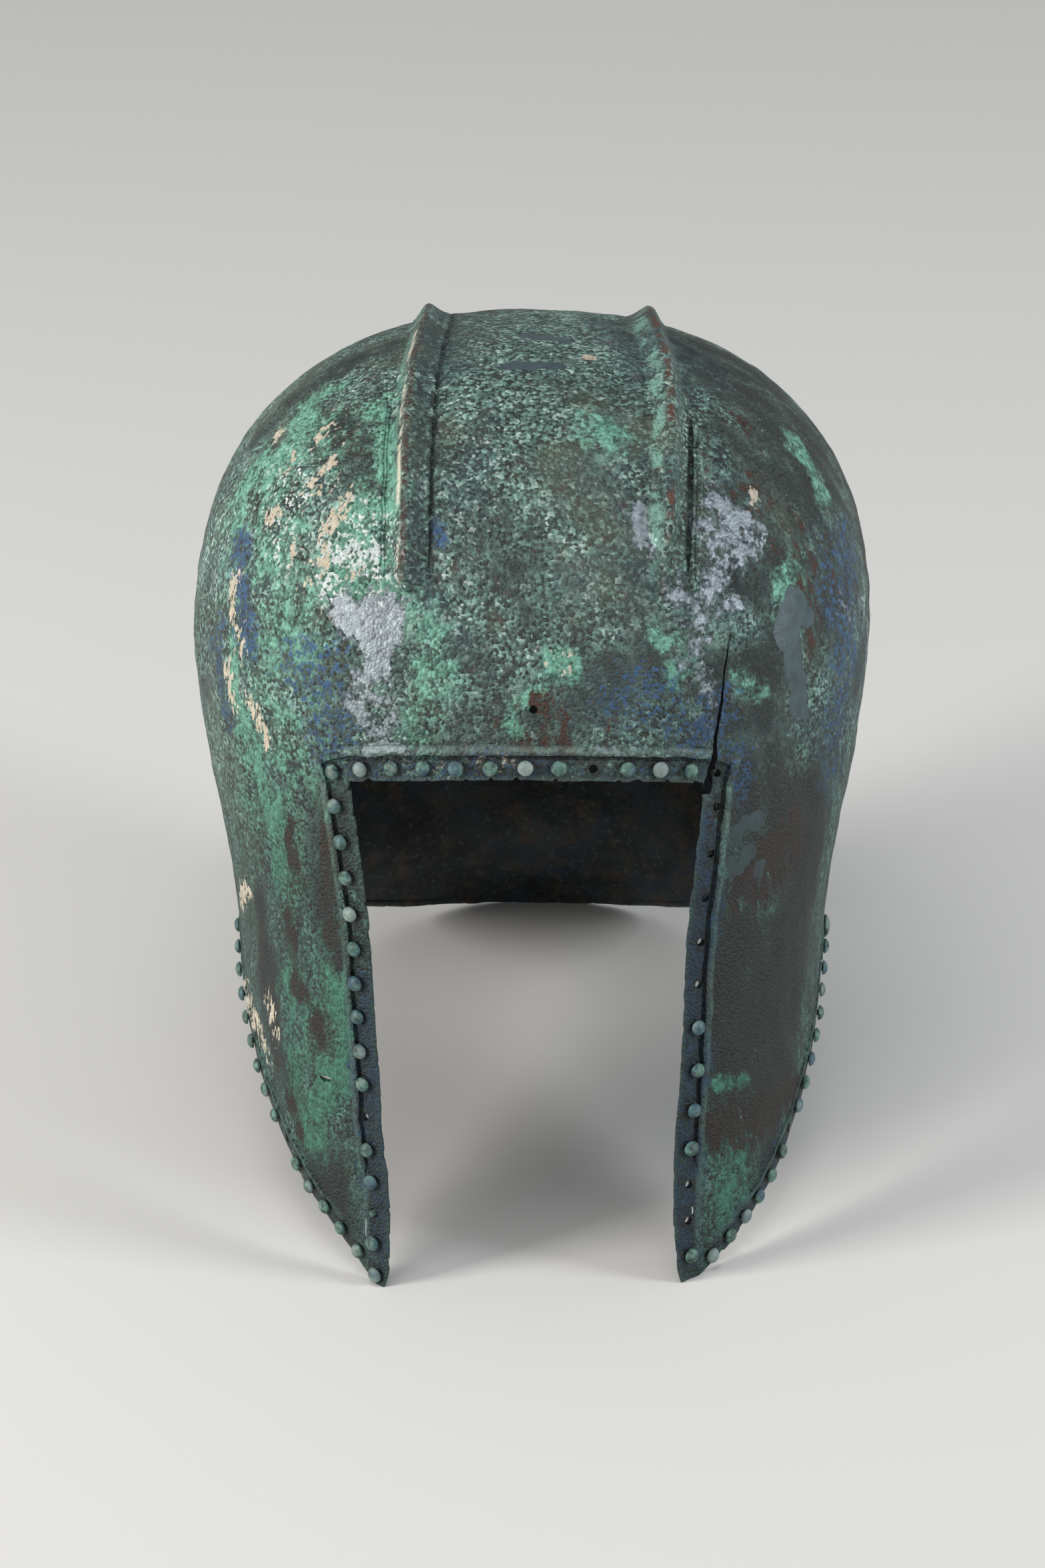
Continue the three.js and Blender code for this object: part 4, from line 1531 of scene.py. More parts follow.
@dataclass(frozen=True)
class PatinaMap:
    """Where each mineral lies on the shell, how worn each edge is, and where painted shade and painted
    highlights fall.
    """

    form: ShellForm
    view: PhotoView
    ridges: RidgePair
    places: RivetPlaces
    patches: dict[Mineral, tuple[Patch, ...]]
    band_width: float = 8.2
    band_blend: float = 1.6
    line_insets: tuple[float, float] = (8.9, 6.7)
    lower_line: float = 6.2
    # Distances in millimetres at which each tone is still full and at which it is gone
    rear_band: tuple[float, float] = (5.4, 7.0)
    rim: tuple[float, float] = (0.5, 1.6)
    # Painted highlight along the bead and the lower bead
    bead: tuple[float, float] = (0.8, 1.7)
    # Painted shade in the groove under the bead
    seam: tuple[float, float] = (0.5, 1.3)
    # Painted shadow round the feet of the rivets and the empty holes
    rivet_foot: tuple[float, float] = (2.4, 4.3)
    # The lower field is painted shade that darkens the crust towards the bottom
    # The same as levels above the corners of the brow
    lower: tuple[float, float] = (-45.0, 50.0)
    cheek: tuple[float, float] = (-12.0, 18.0)

    def nearest(self, points: Array, path: Array) -> Array:
        """Distance from each point to a path.

        Args:
            points: worn points.
            path: closely spaced points of the path.

        Returns:
            The distances in millimetres.
        """
        tree = kdtree.KDTree(len(path))
        for i, place in enumerate(path):
            tree.insert(place, i)
        tree.balance()
        return np.array([tree.find(point)[2] for point in points])

    def reach(self, points: Array, path: Array) -> Array:
        """Distance from each point to the straight runs of a short path.

        Args:
            points: worn points.
            path: corners of the path.

        Returns:
            The distances in millimetres.
        """
        near = np.full(len(points), np.inf)
        ends = [path[0], path[0]] if len(path) == 1 else path
        for start, end in zip(ends[:-1], ends[1:]):
            along = end - start
            share = np.clip((points - start) @ along / max(along @ along, 1e-9), 0, 1)
            near = np.minimum(near, np.linalg.norm(points - start - share[:, None] * along, axis=1))
        return near

    def wander(self, points: Array, radius: float) -> Array:
        """Shift of points that makes the outline of a patch of a radius wander."""
        moves = [
            0.62 * lattice_noise(points, 1.9 * radius, SEED + 20 + axis)
            + 0.3 * lattice_noise(points, 0.7 * radius + 0.8, SEED + 30 + axis)
            for axis in range(3)
        ]
        return np.stack(moves, axis=-1) * radius

    def field(self, points: Array, mineral: Mineral) -> Array:
        """How strongly a mineral's patches claim each point.

        Args:
            points: worn points.
            mineral: the mineral.

        Returns:
            A value from 0 up for each point.
        """
        total = np.zeros(len(points))
        for patch in self.patches[mineral]:
            if patch.around:
                path = np.stack([self.form.at_bearing(bearing, level) for bearing, level in patch.path])
            else:
                path = self.view.on_surface(self.form, np.array(patch.path))
            close = self.reach(points, path) < 2.8 * patch.radius
            moved = points[close] + self.wander(points[close], patch.radius)
            fall = 1 - smooth_step(0.25, 1.55, self.reach(moved, path) / patch.radius)
            total[close] = np.maximum(total[close], patch.strength * fall)
        return total

    def attributes(self, points: Array) -> dict[str, Array]:
        """All fields of the shell.

        Args:
            points: worn points.

        Returns:
            The fields by the names that the finish reads.
        """
        fields = {mineral.value: self.field(points, mineral) for mineral in Mineral}
        opening = self.form.opening_path(220)
        rears = np.concatenate([self.form.cheek_rear_path(side, 220) for side in Side])
        necks = self.form.neck_path(260)
        front, rear, neck = (self.nearest(points, path) for path in (opening, rears, necks))
        lines = (self.form.inset_path(opening, inset) for inset in self.line_insets)
        bead, seam = (self.nearest(points, line) for line in lines)
        rivet = self.nearest(points, np.stack([place for _, place, _ in self.places.holes()]))
        fields["band"] = 1 - smooth_step(self.band_width - self.band_blend, self.band_width, front)
        fields["rear_band"] = 1 - smooth_step(*self.rear_band, np.minimum(rear, neck + 1.0))
        fields["rim"] = 1 - smooth_step(*self.rim, np.minimum(np.minimum(front, rear), neck))
        # Painted highlight along the bead round the opening and along the lower bead
        fields["bead"] = 1 - smooth_step(*self.bead, np.minimum(bead, 0.6 + np.abs(rear - self.lower_line)))
        # Painted shade in the groove under the bead
        fields["seam"] = 1 - smooth_step(*self.seam, seam)
        # Painted shadow round each rivet's foot
        fields["rivet_foot"] = 1 - smooth_step(*self.rivet_foot, rivet)
        # lower is painted shade, full low on the cheekpieces and gone above the brow's corners
        for name, levels in (("lower", self.lower), ("cheek", self.cheek)):
            low, high = (self.form.corner_level + level for level in levels)
            fields[name] = 1 - smooth_step(low, high, points[:, 2])
        # Ridge strips, most of them painted light and shade on the flanks and feet
        for tone in RIDGE_TONES:
            frames = self.form.frames(self.ridges.path(tone.side, tone.offset, 0.0, tone.end))
            near = self.nearest(points, frames.positions + frames.up * tone.lift)
            fields[tone.name] = 1 - smooth_step(0.45 * tone.radius, tone.radius, near)
        return fields


def write_fields(mesh: bpy.types.Mesh, fields: dict[str, Array]) -> None:
    """Keeps a value at each point of a mesh for each named field."""
    for name, values in fields.items():
        attribute = mesh.attributes.new(name, "FLOAT", "POINT")
        attribute.data.foreach_set("value", values.astype(np.float32))


@dataclass
class HelmetShell:
    """The helmet in one sheet of bronze, with its ridges, bead, holes, crack and dents."""

    form: ShellForm
    pose: FloorPose
    places: RivetPlaces
    weathering: Weathering
    ridges: RidgePair
    patina: PatinaMap

    def build(self, outside: bpy.types.Material, inside: bpy.types.Material) -> bpy.types.Object:
        """Builds the shell as an object in the frame.

        Args:
            outside: finish of the outer face and the edges.
            inside: finish of the inner face.

        Returns:
            The object.
        """
        lines = FineLines(self.form, self.ridges)
        body = solid_object(HelmetSheet(self.form).build(), "helmet_bronze_shell")
        mesh = carve(body, [
            ("UNION", self.ridges.raised()),
            ("DIFFERENCE", self.ridges.hollows()),
            ("UNION", lines.beads()),
            ("DIFFERENCE", lines.cuts()),
            ("DIFFERENCE", Openings(self.form, self.places).build()),
        ])
        worn = read_points(mesh)
        write_fields(mesh, self.patina.attributes(worn))
        self.dress(mesh, worn, outside, inside)
        placed = self.pose.place(worn + self.weathering.shift(worn))
        placed[:, 2] = np.maximum(placed[:, 2], 0.0)
        write_points(mesh, placed * METRES)
        plain = body.data
        body.data = mesh
        bpy.data.meshes.remove(plain)
        mesh.shade_smooth()
        mesh.set_sharp_from_angle(angle=math.radians(38))
        triangles = sum(len(p.vertices) - 2 for p in mesh.polygons)
        LOG.info("shell: %d points, %d triangles", len(mesh.vertices), triangles)
        return body

    def dress(
        self, mesh: bpy.types.Mesh, worn: Array, outside: bpy.types.Material, inside: bpy.types.Material
    ) -> None:
        """Gives each face the outer or the inner finish by the way it faces.

        Args:
            mesh: the shell's mesh, still as it is worn.
            worn: its points. Not used.
            outside: finish of the outer face and the edges.
            inside: finish of the inner face.
        """
        count = len(mesh.polygons)
        centres, facing = np.empty(3 * count, dtype=np.float32), np.empty(3 * count, dtype=np.float32)
        mesh.polygons.foreach_get("center", centres)
        mesh.polygons.foreach_get("normal", facing)
        outward = self.form.normals(centres.reshape(-1, 3).astype(float))
        inward = np.sum(outward * facing.reshape(-1, 3), axis=1) < -0.35
        mesh.materials.clear()
        mesh.materials.append(outside)
        mesh.materials.append(inside)
        mesh.polygons.foreach_set("material_index", inward.astype(np.int32))


def read_points(mesh: bpy.types.Mesh) -> Array:
    """Points of a mesh."""
    flat = np.empty(3 * len(mesh.vertices), dtype=np.float32)
    mesh.vertices.foreach_get("co", flat)
    return flat.reshape(-1, 3).astype(float)


def write_points(mesh: bpy.types.Mesh, points: Array) -> None:
    """Moves the points of a mesh to new places."""
    mesh.vertices.foreach_set("co", points.astype(np.float32).ravel())
    mesh.update()


@dataclass
class RivetSet:
    """The round-headed rivets, set out along the edges by a geometry tree."""

    form: ShellForm
    pose: FloorPose
    places: RivetPlaces
    weathering: Weathering
    head_radius: float = 2.35
    head_height: float = 1.9
    standoff: float = 0.55
    shank_radius: float = 0.9
    shank_length: float = 3.0
    size_spread: float = 0.08
    irregularity: float = 0.16
    headless: str = "rivet_left_front_13"
    swollen: str = "rivet_right_rear_16"
    swelling: tuple[float, float, float] = (1.6, 1.6, 1.1)
    rubbed: tuple[str, ...] = ("rivet_brow_02", "rivet_brow_07", "rivet_brow_11", "rivet_left_front_04")

    def tree(self) -> bpy.types.GeometryNodeTree:
        """Builds the tree that puts a head and a shank on each point."""
        tree = bpy.data.node_groups.new("rivets on edges", "GeometryNodeTree")
        tree.interface.new_socket("Geometry", in_out="INPUT", socket_type="NodeSocketGeometry")
        for name in (
            "Head Radius", "Head Height", "Standoff", "Shank Radius", "Shank Length", "Size Spread",
            "Irregularity"
        ):
            tree.interface.new_socket(name, in_out="INPUT", socket_type="NodeSocketFloat")
        tree.interface.new_socket("Seed", in_out="INPUT", socket_type="NodeSocketInt")
        tree.interface.new_socket("Finish", in_out="INPUT", socket_type="NodeSocketMaterial")
        tree.interface.new_socket("Geometry", in_out="OUTPUT", socket_type="NodeSocketGeometry")
        given = tree.nodes.new("NodeGroupInput").outputs
        ball = add_node(tree, "GeometryNodeMeshUVSphere", {"Segments": 18, "Rings": 12, "Radius": 1.0})
        place = add_node(tree, "GeometryNodeInputPosition")
        parts = add_node(tree, "ShaderNodeSeparateXYZ", {0: place.outputs[0]})
        dome = add_node(tree, "ShaderNodeMath", {0: parts.outputs[2], 1: 0.0}, operation="MAXIMUM")
        under = add_node(tree, "ShaderNodeMath", {0: parts.outputs[2], 1: 0.0}, operation="MINIMUM")
        under = add_node(tree, "ShaderNodeMath", {0: under.outputs[0], 1: 0.2}, operation="MULTIPLY")
        dome = add_node(tree, "ShaderNodeMath", {0: dome.outputs[0], 1: 0.8}, operation="MULTIPLY")
        level = add_node(tree, "ShaderNodeMath", {0: dome.outputs[0], 1: under.outputs[0]}, operation="ADD")
        level = add_node(tree, "ShaderNodeMath", {0: level.outputs[0], 1: 0.2}, operation="ADD")
        level = add_node(
            tree,
            "ShaderNodeMath",
            {0: level.outputs[0], 1: given["Head Height"], 2: given["Standoff"]},
            operation="MULTIPLY_ADD",
        )
        wide = add_node(
            tree, "ShaderNodeVectorMath", {0: place.outputs[0], "Scale": given["Head Radius"]},
            operation="SCALE"
        )
        flat = add_node(tree, "ShaderNodeSeparateXYZ", {0: wide.outputs[0]})
        shaped = add_node(
            tree, "ShaderNodeCombineXYZ", {0: flat.outputs[0], 1: flat.outputs[1], 2: level.outputs[0]}
        )
        head = add_node(
            tree, "GeometryNodeSetPosition",
            {"Geometry": ball.outputs["Mesh"], "Position": shaped.outputs[0]}
        )
        shank = add_node(
            tree,
            "GeometryNodeMeshCylinder",
            {"Vertices": 12, "Radius": given["Shank Radius"], "Depth": given["Shank Length"]},
        )
        drop = add_node(
            tree, "ShaderNodeMath", {0: given["Shank Length"], 1: -0.5, 2: given["Standoff"]},
            operation="MULTIPLY_ADD"
        )
        drop = add_node(
            tree, "ShaderNodeMath", {0: given["Head Height"], 1: 0.3, 2: drop.outputs[0]},
            operation="MULTIPLY_ADD"
        )
        down = add_node(tree, "ShaderNodeCombineXYZ", {2: drop.outputs[0]})
        shank = add_node(
            tree, "GeometryNodeTransform",
            {"Geometry": shank.outputs["Mesh"], "Translation": down.outputs[0]}
        )
        facing = add_node(
            tree, "GeometryNodeInputNamedAttribute", {"Name": "facing"}, data_type="FLOAT_VECTOR"
        )
        headed = add_node(tree, "GeometryNodeInputNamedAttribute", {"Name": "headed"}, data_type="BOOLEAN")
        turned = add_node(tree, "FunctionNodeAlignRotationToVector", {"Vector": facing.outputs[0]}, axis="Z")
        twist = add_node(
            tree, "FunctionNodeRandomValue", {2: 0.0, 3: 6.283, "Seed": given["Seed"]}, data_type="FLOAT"
        )
        spin = add_node(tree, "ShaderNodeCombineXYZ", {2: twist.outputs[1]})
        turned = add_node(
            tree,
            "FunctionNodeRotateRotation",
            {"Rotation": turned.outputs[0], "Rotate By": spin.outputs[0]},
            rotation_space="LOCAL",
        )
        least = add_node(tree, "ShaderNodeMath", {0: 1.0, 1: given["Size Spread"]}, operation="SUBTRACT")
        size = add_node(
            tree, "FunctionNodeRandomValue", {2: least.outputs[0], 3: 1.0, "Seed": given["Seed"]},
            data_type="FLOAT"
        )
        swelling = add_node(
            tree, "GeometryNodeInputNamedAttribute", {"Name": "swelling"}, data_type="FLOAT_VECTOR"
        )
        size = add_node(
            tree, "ShaderNodeVectorMath", {0: swelling.outputs[0], "Scale": size.outputs[1]},
            operation="SCALE"
        )
        heads = add_node(
            tree,
            "GeometryNodeInstanceOnPoints",
            {
                "Points": given["Geometry"],
                "Selection": headed.outputs[0],
                "Instance": head.outputs[0],
                "Rotation": turned.outputs[0],
                "Scale": size.outputs[0],
            },
        )
        shanks = add_node(
            tree,
            "GeometryNodeInstanceOnPoints",
            {"Points": given["Geometry"], "Instance": shank.outputs[0], "Rotation": turned.outputs[0]},
        )
        joined = add_node(tree, "GeometryNodeJoinGeometry")
        tree.links.new(heads.outputs[0], joined.inputs[0])
        tree.links.new(shanks.outputs[0], joined.inputs[0])
        real = add_node(tree, "GeometryNodeRealizeInstances", {0: joined.outputs[0]})
        worn = add_node(tree, "ShaderNodeTexNoise", {"Scale": 420.0, "Detail": 2.0})
        worn = add_node(
            tree, "ShaderNodeVectorMath", {0: worn.outputs["Color"], 1: (0.5, 0.5, 0.5)},
            operation="SUBTRACT"
        )
        worn = add_node(
            tree, "ShaderNodeVectorMath", {0: worn.outputs[0], "Scale": given["Irregularity"]},
            operation="SCALE"
        )
        real = add_node(
            tree, "GeometryNodeSetPosition", {"Geometry": real.outputs[0], "Offset": worn.outputs[0]}
        )
        smooth = add_node(tree, "GeometryNodeSetShadeSmooth", {"Geometry": real.outputs[0]})
        dressed = add_node(
            tree, "GeometryNodeSetMaterial", {"Geometry": smooth.outputs[0], "Material": given["Finish"]}
        )
        add_node(tree, "NodeGroupOutput", {0: dressed.outputs[0]})
        return tree

    def points(self) -> tuple[bpy.types.Mesh, list[str]]:
        """Points that carry a rivet, with the way each faces, and the names of their nodes."""
        holes = [(name, place) for name, place, lost in self.places.holes() if not lost]
        worn = np.stack([place for _, place in holes])
        facing = self.pose.lean(self.form.normals(worn))
        placed = self.pose.place(worn + self.weathering.shift(worn)) * METRES
        names = [name for name, _ in holes]
        mesh = bpy.data.meshes.new("rivet places")
        mesh.from_pydata(placed.tolist(), [], [])
        swelling = np.array([self.swelling if name == self.swollen else (1.0, 1.0, 1.0) for name in names])
        for name, values in (("facing", facing), ("swelling", swelling)):
            attribute = mesh.attributes.new(name, "FLOAT_VECTOR", "POINT")
            attribute.data.foreach_set("vector", values.astype(np.float32).ravel())
        headed = mesh.attributes.new("headed", "BOOLEAN", "POINT")
        headed.data.foreach_set("value", [name != self.headless for name in names])
        rubbed = mesh.attributes.new("rubbed", "FLOAT", "POINT")
        rubbed.data.foreach_set("value", [float(name in self.rubbed) for name in names])
        return mesh, names

    def build(self, finish: bpy.types.Material) -> tuple[bpy.types.Object, list[str]]:
        """Builds the rivets as one object in the frame.

        Args:
            finish: their material.

        Returns:
            The object and the names of the nodes that it stands for.
        """
        points, names = self.points()
        made = bpy.data.objects.new("helmet_rivets", points)
        bpy.context.scene.collection.objects.link(made)
        tree = self.tree()
        modifier = made.modifiers.new("rivets", "NODES")
        modifier.node_group = tree
        values = {
            "Head Radius": self.head_radius * METRES,
            "Head Height": self.head_height * METRES,
            "Standoff": self.standoff * METRES,
            "Shank Radius": self.shank_radius * METRES,
            "Shank Length": self.shank_length * METRES,
            "Size Spread": self.size_spread,
            "Irregularity": self.irregularity * METRES,
            "Seed": SEED,
            "Finish": finish,
        }
        for item in tree.interface.items_tree:
            if item.in_out == "INPUT" and item.name in values:
                modifier[item.identifier] = values[item.name]
        mesh = evaluated_mesh(made, "helmet_rivets")
        made.modifiers.clear()
        made.data = mesh
        bpy.data.meshes.remove(points)
        bpy.data.node_groups.remove(tree)
        triangles = sum(len(p.vertices) - 2 for p in mesh.polygons)
        LOG.info("rivets: %d nodes, %d triangles", len(names), triangles)
        return made, names


def photo_camera(view: PhotoView, pose: FloorPose) -> None:
    """Makes the camera at the photograph's angle and gives it to the scene.

    Args:
        view: the photograph's camera.
        pose: how the worn helmet lies in the frame.
    """
    data = bpy.data.cameras.new("photo camera")
    data.sensor_fit = "VERTICAL"
    data.sensor_height = view.sensor
    data.lens = view.lens
    data.clip_end = 50.0
    made = bpy.data.objects.new("photo_camera", data)
    place = pose.place(view.place[None])[0] * METRES
    made.matrix_world = Matrix.Translation(place) @ Matrix(pose.lean(view.axes).T.tolist()).to_4x4()
    bpy.context.scene.collection.objects.link(made)
    bpy.context.scene.camera = made


@dataclass(frozen=True)
class SoftBox:
    """A soft light that looks at the helmet."""

    name: str
    place: tuple[float, float, float]
    size: float
    power: float
    colour: str


@dataclass(frozen=True)
class Studio:
    """Pale floor, soft boxes and even light around."""

    surround: str = "#dfe2e4"
    surround_strength: float = 0.5
    floor_colour: str = "#dad9d6"
    floor_size: float = 60.0
    target: tuple[float, float, float] = (0.0, 0.0, 0.12)
    boxes: tuple[SoftBox, ...] = (
        SoftBox("left_box", (-1.6, -0.6, 0.7), 0.5, 28.0, "#fffaf4"),
        SoftBox("right_box", (1.6, -0.5, 0.7), 0.45, 17.0, "#f7fbff"),
        SoftBox("top_box", (-0.2, -0.5, 2.0), 1.0, 9.0, "#ffffff"),
    )

    def build(self) -> None:
        """Makes the floor, the lights and the surround."""
        world = bpy.data.worlds.new("studio")
        world.use_nodes = True
        back = world.node_tree.nodes["Background"]
        back.inputs["Color"].default_value = linear_colour(self.surround)
        back.inputs["Strength"].default_value = self.surround_strength
        bpy.context.scene.world = world
        bpy.context.scene.view_settings.view_transform = "Standard"
        for box in self.boxes:
            light = bpy.data.lights.new(box.name, "AREA")
            light.size = box.size
            light.energy = box.power
            light.color = linear_colour(box.colour)[:3]
            made = bpy.data.objects.new(box.name, light)
            made.location = box.place
            way = Vector(box.place) - Vector(self.target)
            made.rotation_euler = way.to_track_quat("Z", "Y").to_euler()
            bpy.context.scene.collection.objects.link(made)
        half = self.floor_size / 2
        mesh = bpy.data.meshes.new("floor")
        corners = [(-half, -half, 0.0), (half, -half, 0.0), (half, half, 0.0), (-half, half, 0.0)]
        mesh.from_pydata(corners, [], [(0, 1, 2, 3)])
        floor = bpy.data.objects.new("studio_floor", mesh)
        bpy.context.scene.collection.objects.link(floor)
        paper = bpy.data.materials.new("matt paper")
        paper.use_nodes = True
        shader = paper.node_tree.nodes["Principled BSDF"]
        shader.inputs["Base Color"].default_value = linear_colour(self.floor_colour)
        shader.inputs["Roughness"].default_value = 0.9
        mesh.materials.append(paper)
        LOG.info("studio: %d soft boxes over a pale floor", len(self.boxes))


EDGE_TONES = (
    EdgeTone("band", "#24363b", 0.6),
    EdgeTone("rear_band", "#243a42", 0.65),
    # Painted shadow round the rivets' feet
    EdgeTone("rivet_foot", "#0c1215", 0.9),
    # Painted shade in the groove under the bead
    EdgeTone("seam", "#0d1315", 0.9),
    # Painted highlight along the beads
    EdgeTone("bead", "#93a79f", 0.55),
    EdgeTone("rim", "#5c716c", 0.5),
)

# Strips along the ridges. The crests and the cream lip are the crust's own colours; the rest are painted light
# and shade for light from the left: painted light over the mint flanks that face it, painted shade on the
# flanks turned away, and painted shadow in the dark feet beside the ridges
RIDGE_TONES = (
    RidgeTone("left_inner_flank", "#33403f", 0.85, False, Side.LEFT, -3.1, 2.3, 2.9),
    RidgeTone("left_outer_flank", "#5f9683", 0.6, True, Side.LEFT, 4.2, 1.4, 2.6, 0.32),
    RidgeTone("left_crest", "#46302a", 0.9, False, Side.LEFT, 0.2, 4.5, 1.6),
    RidgeTone("left_lip", "#d6d0bf", 0.95, True, Side.LEFT, 2.2, 3.2, 1.7, 0.3),
    RidgeTone("left_foot", "#0f1516", 0.85, False, Side.LEFT, -6.3, -0.2, 1.6, 0.5),
    RidgeTone("right_inner_flank", "#7fae9f", 0.8, True, Side.RIGHT, -3.4, 2.2, 3.0, 0.36),
    RidgeTone("right_crest", "#5e3a2d", 0.95, True, Side.RIGHT, 0.0, 4.5, 1.7, 0.4),
    RidgeTone("right_outer_flank", "#465a55", 0.6, False, Side.RIGHT, 3.0, 2.4, 2.4),
    RidgeTone("right_foot", "#0c1213", 0.95, False, Side.RIGHT, 6.9, -0.6, 1.8, 0.2),
)

